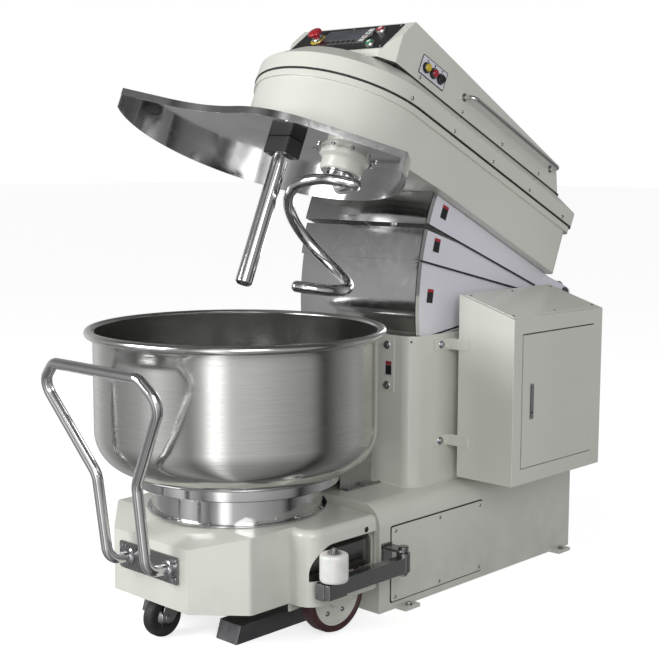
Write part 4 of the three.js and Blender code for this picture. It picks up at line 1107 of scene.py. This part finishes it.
def make_panel():
    """The control panel on the cover's slope, with display, emergency stop, start and stop."""
    slope = math.atan2(slope_top - slope_low, slope_run)
    at_slope = Matrix.Translation((0, cover_front + slope_run / 2, (slope_top + slope_low) / 2))
    panel = HEAD @ at_slope @ Matrix.Rotation(slope, 4, "X")
    face = 3.3
    plate = softened(prism("Z", rectangle(-205, -71, 205, 62, 3, steps=4), 0.3, face), 0.6, 2)
    head_piece("panel_plate", plate, "black_plastic", place=panel, replaces=["control_panel"])
    corners = [((x, y, face), (0, 0, 1)) for x in (-197, 0, 197) for y in (-64, 55)]
    screws("panel_screws", "head", corners, place=panel, size=4)

    bezel = softened(prism("Z", rectangle(-90, -42, 112, 40, 5, steps=5), face + 0.3, face + 5), 1, 2)
    bezel = cut(bezel, block(-80, 74, -14, 32, face + 3.2, face + 9))
    head_piece("display_bezel", bezel, "display_dark", "bolt_steel", panel, replaces=["display_unit"])
    glass = softened(block(-79.7, 73.7, -13.7, 31.7, face + 3.2, face + 4.2), 0.4, 1)
    head_piece("display_glass", glass, "display_dark", place=panel)
    key_low, key_top = face + 4.8, face + 6
    keys = [softened(block(x, x + 13, -35, -24, key_low, key_top), 0.5, 2) for x in range(-78, 60, 22)]
    head_piece("display_keys", together(*keys), "black_plastic", place=panel)
    side_keys = [softened(block(84, 104, y, y + 13, key_low, key_top), 0.5, 2) for y in (-34, -14, 6, 24)]
    head_piece("display_side_keys", together(*side_keys), "white_sheet", "white_plastic", panel)
    for finish, y in (("red_plastic", -7.5), ("green_plastic", 12.5)):
        lamp = moved(lathe([(0, 0), (3, 0), (2.6, 1.2), (0, 1.8)], 24), 94, y, key_top)
        head_piece(f"lamp_{finish}", lamp, finish, place=panel)

    at_stop = panel @ Matrix.Translation((-118, 2, face))
    yellow = lathe([(12, 0.1), (26.5, 0.1), (26.5, 1.4), (12, 1.4)], 48, True)
    head_piece("stop_ring", yellow, "yellow_plastic", place=at_stop)
    sleeve = lathe([(11.2, 1.4), (19, 1.4), (19, 8), (17.5, 10), (11.2, 10)], 48, True)
    head_piece("stop_sleeve", sleeve, "chrome", place=at_stop)
    mushroom = lathe([(0, 5.6), (9.6, 5.6), (9.6, 15), (16, 20), (22, 23), (23, 25.5), (23, 29), (21.6, 32),
                      (17, 35), (9, 37), (0, 37.5)], 64)
    piece("stop_mushroom", mushroom, "emergency_stop_cap", "red_plastic", place=at_stop,
          replaces=["emergency_stop"])
    for name, x, y, slot in (("start", 144, -50, "green_plastic"), ("stop", 134, 28, "red_plastic")):
        spot = panel @ Matrix.Translation((x, y, face))
        body = f"{name}_cap"
        head_piece(f"{name}_collar", collar(11, 8), "chrome", place=spot)
        piece(f"{name}_cap_top", button_cap(11, 6, 13), body, slot, place=spot, replaces=[f"{name}_button"])
        disc = lathe([(0, 12.2), (7, 12.2), (6.6, 12.8), (0, 12.9)], 32)
        piece(f"{name}_disc", disc, body, slot, "white_plastic", spot)


def make_side_plate():
    """The plate on the cover's right side, with the head's up, stop and down buttons."""
    side = HEAD @ Matrix.Translation((cover_half, 385, 1306)) @ Matrix.Rotation(-seam_angle, 4, "X") \
        @ Matrix.Rotation(math.pi / 2, 4, "Z") @ Matrix.Rotation(math.pi / 2, 4, "X")
    top, spacing, middle_y = 2.5, 38, -3

    def sheet_of(inset, radius, low, high):
        half_u, half_v = 66 - inset, 31 - inset
        return prism("Z", rectangle(-half_u, -half_v, half_u, half_v, radius, steps=4), low, high)
    head_piece("side_plate", softened(sheet_of(0, 3, 0.3, top), 0.5, 2), "white_sheet", place=side,
               replaces=["side_button_plate"])
    border = cut(sheet_of(0, 3, 0.4, 2.7), sheet_of(2.4, 2, -1, 5))
    head_piece("side_plate_border", border, "black_plastic", place=side)
    holes = [moved(rod(12.8, 0, 5), u, middle_y, 0) for u in (-spacing, 0, spacing)]
    head_piece("side_plate_inlay", cut(sheet_of(4.4, 1, 2.4, 2.8), *holes), "white_sheet", place=side)
    signs = ((-spacing, [(-5, 19), (5, 19), (0, 25)]), (spacing, [(-5, 25), (5, 25), (0, 19)]),
             (0, [(-3, 19), (3, 19), (3, 25), (-3, 25)]))
    marks = [prism("Z", [(u + x, y) for x, y in points], 2.8, 3.1) for u, points in signs]
    head_piece("side_plate_marks", together(*marks), "black_plastic", place=side)
    for name, u, slot in (("head_up", -spacing, "yellow_plastic"), ("side_stop", 0, "red_plastic"),
                          ("head_down", spacing, "black_plastic")):
        spot = side @ Matrix.Translation((u, middle_y, top))
        head_piece(f"{name}_collar", collar(12, 9), "black_plastic", place=spot)
        rim = lathe([(12.8, 8.6), (14.6, 8.6), (14.2, 10), (12.8, 10)], 40, True)
        head_piece(f"{name}_rim", rim, "chrome", place=spot)
        piece(f"{name}_cap_top", button_cap(12, 7, 15), f"{name}_cap", slot, place=spot,
              replaces=[f"{name}_button"])


# ---------- lid, bar and spiral ----------
lid_radius, lid_top, lid_skirt, lid_sheet = 448, 957, 60, 3
lid_under = lid_top - lid_sheet
CUT_LINE = [(-352, -318), (-120, -150), (140, -149), (410, 192)]


def front_curve(shrink):
    """The lid's front edge, which sweeps in over the bowl's open side."""
    bends = ((0, 0), (0.3, 400), (0.4, 270), (0, 0))
    corners = [(x - shrink * share, y + shrink, 0, radius)
               for (x, y), (share, radius) in zip(CUT_LINE, bends)]
    return [(p.x, p.y) for p in bent(corners, steps=20)]


def lid_plan(shrink):
    end, start = (math.degrees(math.atan2(CUT_LINE[i][1] + shrink, CUT_LINE[i][0])) for i in (0, -1))
    return arc((0, 0), lid_radius - shrink, start, end + 360, 90) + front_curve(shrink)[1:-1]


def make_lid():
    foot = lid_top - lid_skirt
    pan = cut(prism("Z", lid_plan(0), foot, lid_top), prism("Z", lid_plan(lid_sheet), foot - 1, lid_under))
    ahead = [(600, 0), (300, -600), (-500, -600)]
    relief = prism("Z", front_curve(lid_sheet + 6) + ahead, foot - 2, lid_top - 22)
    hole = moved(rod(80, lid_top - 6, lid_top + 6, 64), spiral_x, spiral_y, 0)
    pan = softened(cut(pan, relief, hole), 1.2, 2, angle=50)
    head_piece("lid_pan", pan, "stainless", "stainless_mirror", replaces=["bowl_lid"])
    bolts = [((spiral_x + x, spiral_y + y, lid_under), (0, 0, -1)) for x, y in circle(10, 95)]
    screws("lid_bolts", "head", bolts, hex_bolt, place=HEAD, size=5.5)


def make_bar():
    half, width, top, foot = 50, 34, lid_under - 0.3, lid_under - 52
    shape = rectangle(-half, bar_y - width, half, bar_y + width, 8, steps=6)
    clamp = cut(prism("Z", shape, foot, top), moved(rod(26.3, 850, 960, 64), 0, bar_y, 0))
    head_piece("clamp_block", softened(clamp, 2, 3), "black_plastic", replaces=["bar_clamp"])
    bolts = [((x, bar_y + y, foot), (0, 0, -1)) for x in (-38, 38) for y in (-22, 22)]
    screws("clamp_bolts", "head", bolts, place=HEAD, size=5)
    nose = [(9, 0), (7, 0.6), (0.8, 7), (0, 9)]
    bar = lathe([(0, tool_bottom), *[(bar_radius - inset, tool_bottom + up) for inset, up in nose],
                 (bar_radius, top), (0, top)])
    head_piece("bar_steel", moved(bar, 0, bar_y, 0), "chrome", replaces=["breaker_bar"])


def spiral_path():
    """Stem, shoulder and turn of the spiral, about its own axis."""
    top, orbit, narrowing = 842, 128, 36
    knots = [(0, 0, 884), (0, 0, top + 24), (12, -3, top + 8), (34, -10, top)]

    def smooth(t):
        t = min(max((t - 0.55) / 0.45, 0), 1)
        return t * t * (3 - 2 * t)

    def smoother(t):
        return t ** 3 * (t * (6 * t - 15) + 10)
    steps = 26
    for i in range(steps + 1):
        t = i / steps
        angle = -0.35 - t * 2 * math.pi * 1.12
        radius = orbit - narrowing * smooth(t)
        height = top - (top - tool_bottom - 20) * smoother(t * 0.86 + 0.07)
        knots.append((radius * math.cos(angle), radius * math.sin(angle), height))
    points = [Vector(k) for k in knots]
    padded = [points[0], *points, points[-1]]
    fine = []
    for a, b, c, d in zip(padded, padded[1:], padded[2:], padded[3:]):
        for t in (s / 6 for s in range(6)):
            square, cube = 2 * a - 5 * b + 4 * c - d, 3 * b - a - 3 * c + d
            fine.append(0.5 * (2 * b + (c - a) * t + square * t ** 2 + cube * t ** 3))
    return [*fine, points[-1]]


def make_spiral():
    place = HEAD @ Matrix.Translation((spiral_x, spiral_y, 0))
    path = spiral_path()
    radius = 17
    hook = tube(path, radius, 32)
    half_turn = (math.pi * (k / 16 - 0.5) for k in range(17))
    ball = moved(lathe([(radius * math.cos(a), radius * math.sin(a)) for a in half_turn], 32), *path[-1])
    flange = lathe([(0, 874), (43, 874), (46, 877), (46, 888), (44, 890), (26, 890), (26, 1048),
                    (0, 1048)], 72)
    fillet = lathe([(16, 855), (17.5, 866), (21, 872), (28, 874.2), (16, 876)], 48, True)
    piece("hook_steel", together(hook, ball, flange, fillet), "spiral", "chrome", place=place,
          replaces=["spiral_hook"])
    bolts = [((x, y, 874), (0, 0, -1)) for x, y in circle(6, 36)]
    screws("hook_bolts", "spiral", bolts, place=place, size=4.5)
    bore = 26.5
    section = [(bore, 892), (58, 892), (62, 893.5), (65, 897), (66, 901), (66, 928), (70, 933), (76, 936),
               (78, 939), (78, 985), (bore, 985)]
    head_piece("spiral_hub", lathe(section, loop=True), "cream_paint", place=place,
               replaces=["spiral_housing"])
    ring = lathe([(48, 890.6), (60, 890.6), (61, 891.3), (60, 893), (48, 893)], 72, True)
    head_piece("spiral_hub_ring", ring, "chrome", place=place)


# ---------- guards ----------
guard_front, guard_half = 832, 262


def make_guard(order, body, place, floor_front, floor_rear, node):
    radius, half = guard_front - 6 * order, guard_half - 5 * order
    top = head_floor - 1.5 - order * 2

    def front_arc(r, low, high):
        start, end = (math.degrees(math.asin((z - pivot_z) / r)) for z in (low, high))
        return [(2 * pivot_y - y, z) for y, z in arc((pivot_y, pivot_z), r, start, end, 28)]

    def solid(r, over, width):
        back = pivot_y + 34 + over
        rear = [(1230, top - 34 + over), (1312, pivot_z + 24 + over), (back, pivot_z + 22 + over, 20),
                (back, pivot_z - 30 - over, 20), (1300, pivot_z - 32 - over), (1160, floor_rear - over)]
        return prism("X", outline([*front_arc(r, floor_front - over, top + over), *rear], 8), -width, width)
    bore = across(rod(20.4, -300, 300, 40), 0, pivot_y, pivot_z)
    shell = softened(cut(solid(radius, 0, half), solid(radius - 3, 40, half - 3), bore), 0.8, 2, angle=50)
    piece(f"{node}_sheet", shell, body, "white_sheet", place=place, replaces=[node], crease=30)

    # A polished cladding on the curved front, folded a little way round each side.
    wrap, proud = 20, 0.5
    outer, inner, fold = (front_arc(radius + grow, floor_front, top) for grow in (proud, -2.5, -wrap))
    skin = prism("X", outer + inner[::-1], -half - proud, half + proud)
    flaps = [prism("X", outer + fold[::-1], low, low + proud + 1) for low in (-half - proud, half - 1)]
    piece(f"{node}_front", together(skin, *flaps), body, "stainless", "stainless_mirror", place)

    # A black edge along the foot of each side.
    edges = []
    for side in (-1, 1):
        front = pivot_y - radius + 8
        low_line = [(front, floor_front + 0.2), (1160, floor_rear + 0.2), (1160, floor_rear + 6.5),
                    (front, floor_front + 6.5)]
        edges.append(prism("X", low_line, *sorted((side * (half - 0.5), side * (half + 0.6)))))
    piece(f"{node}_edge", together(*edges), body, "black_rubber", place=place)
    plate_y, plate_z = pivot_y - radius + 62, (floor_front + top) / 2 - 8
    labels = (("dark", "black_plastic", 0.7, 0, 34), ("red", "red_plastic", 0.8, 34, 44))
    for word, slot, proud, low, high in labels:
        plate = block(half, half + proud, plate_y, plate_y + 30, plate_z + low, plate_z + high)
        piece(f"{node}_plate_{word}", plate, body, slot, place=place)


def make_guards():
    make_guard(0, "head", HEAD, 852, 866, "guard_upper")
    make_guard(1, "middle_guard", MIDDLE_GUARD, 852, 866, "guard_middle")
    make_guard(2, "lower_guard", LOWER_GUARD, 672, 850, "guard_lower")


# ---------- nodes that keep their CAD shape ----------
def dress_frame_nodes():
    """Gives each CAD node that still shows its slot's material and a softened edge."""
    slots = {row["node"]: row["material_slot"] for row in frame["record"]["subparts"]}
    for name, node in frame["nodes"].items():
        if node.hide_render:
            continue
        node.data.materials.clear()
        node.data.materials.append(finishes[slots[name]])
        weld = node.modifiers.new("weld", "WELD")
        weld.merge_threshold = 0.00002
        edge = node.modifiers.new("edge", "BEVEL")
        edge.width = 0.0012
        edge.segments = 2
        edge.limit_method = "ANGLE"
        edge.angle_limit = math.radians(38)


make_stage()
finishes = make_materials()
for make in (make_base, make_column, make_bowl_drive, make_cabinet, make_chassis, make_wheels, make_caster,
             make_push_handle, make_bowl, make_dock_arms, make_head_body, make_bonnet, make_cover,
             make_grab_rails, make_panel, make_side_plate, make_lid, make_bar, make_spiral, make_guards,
             dress_frame_nodes):
    make()
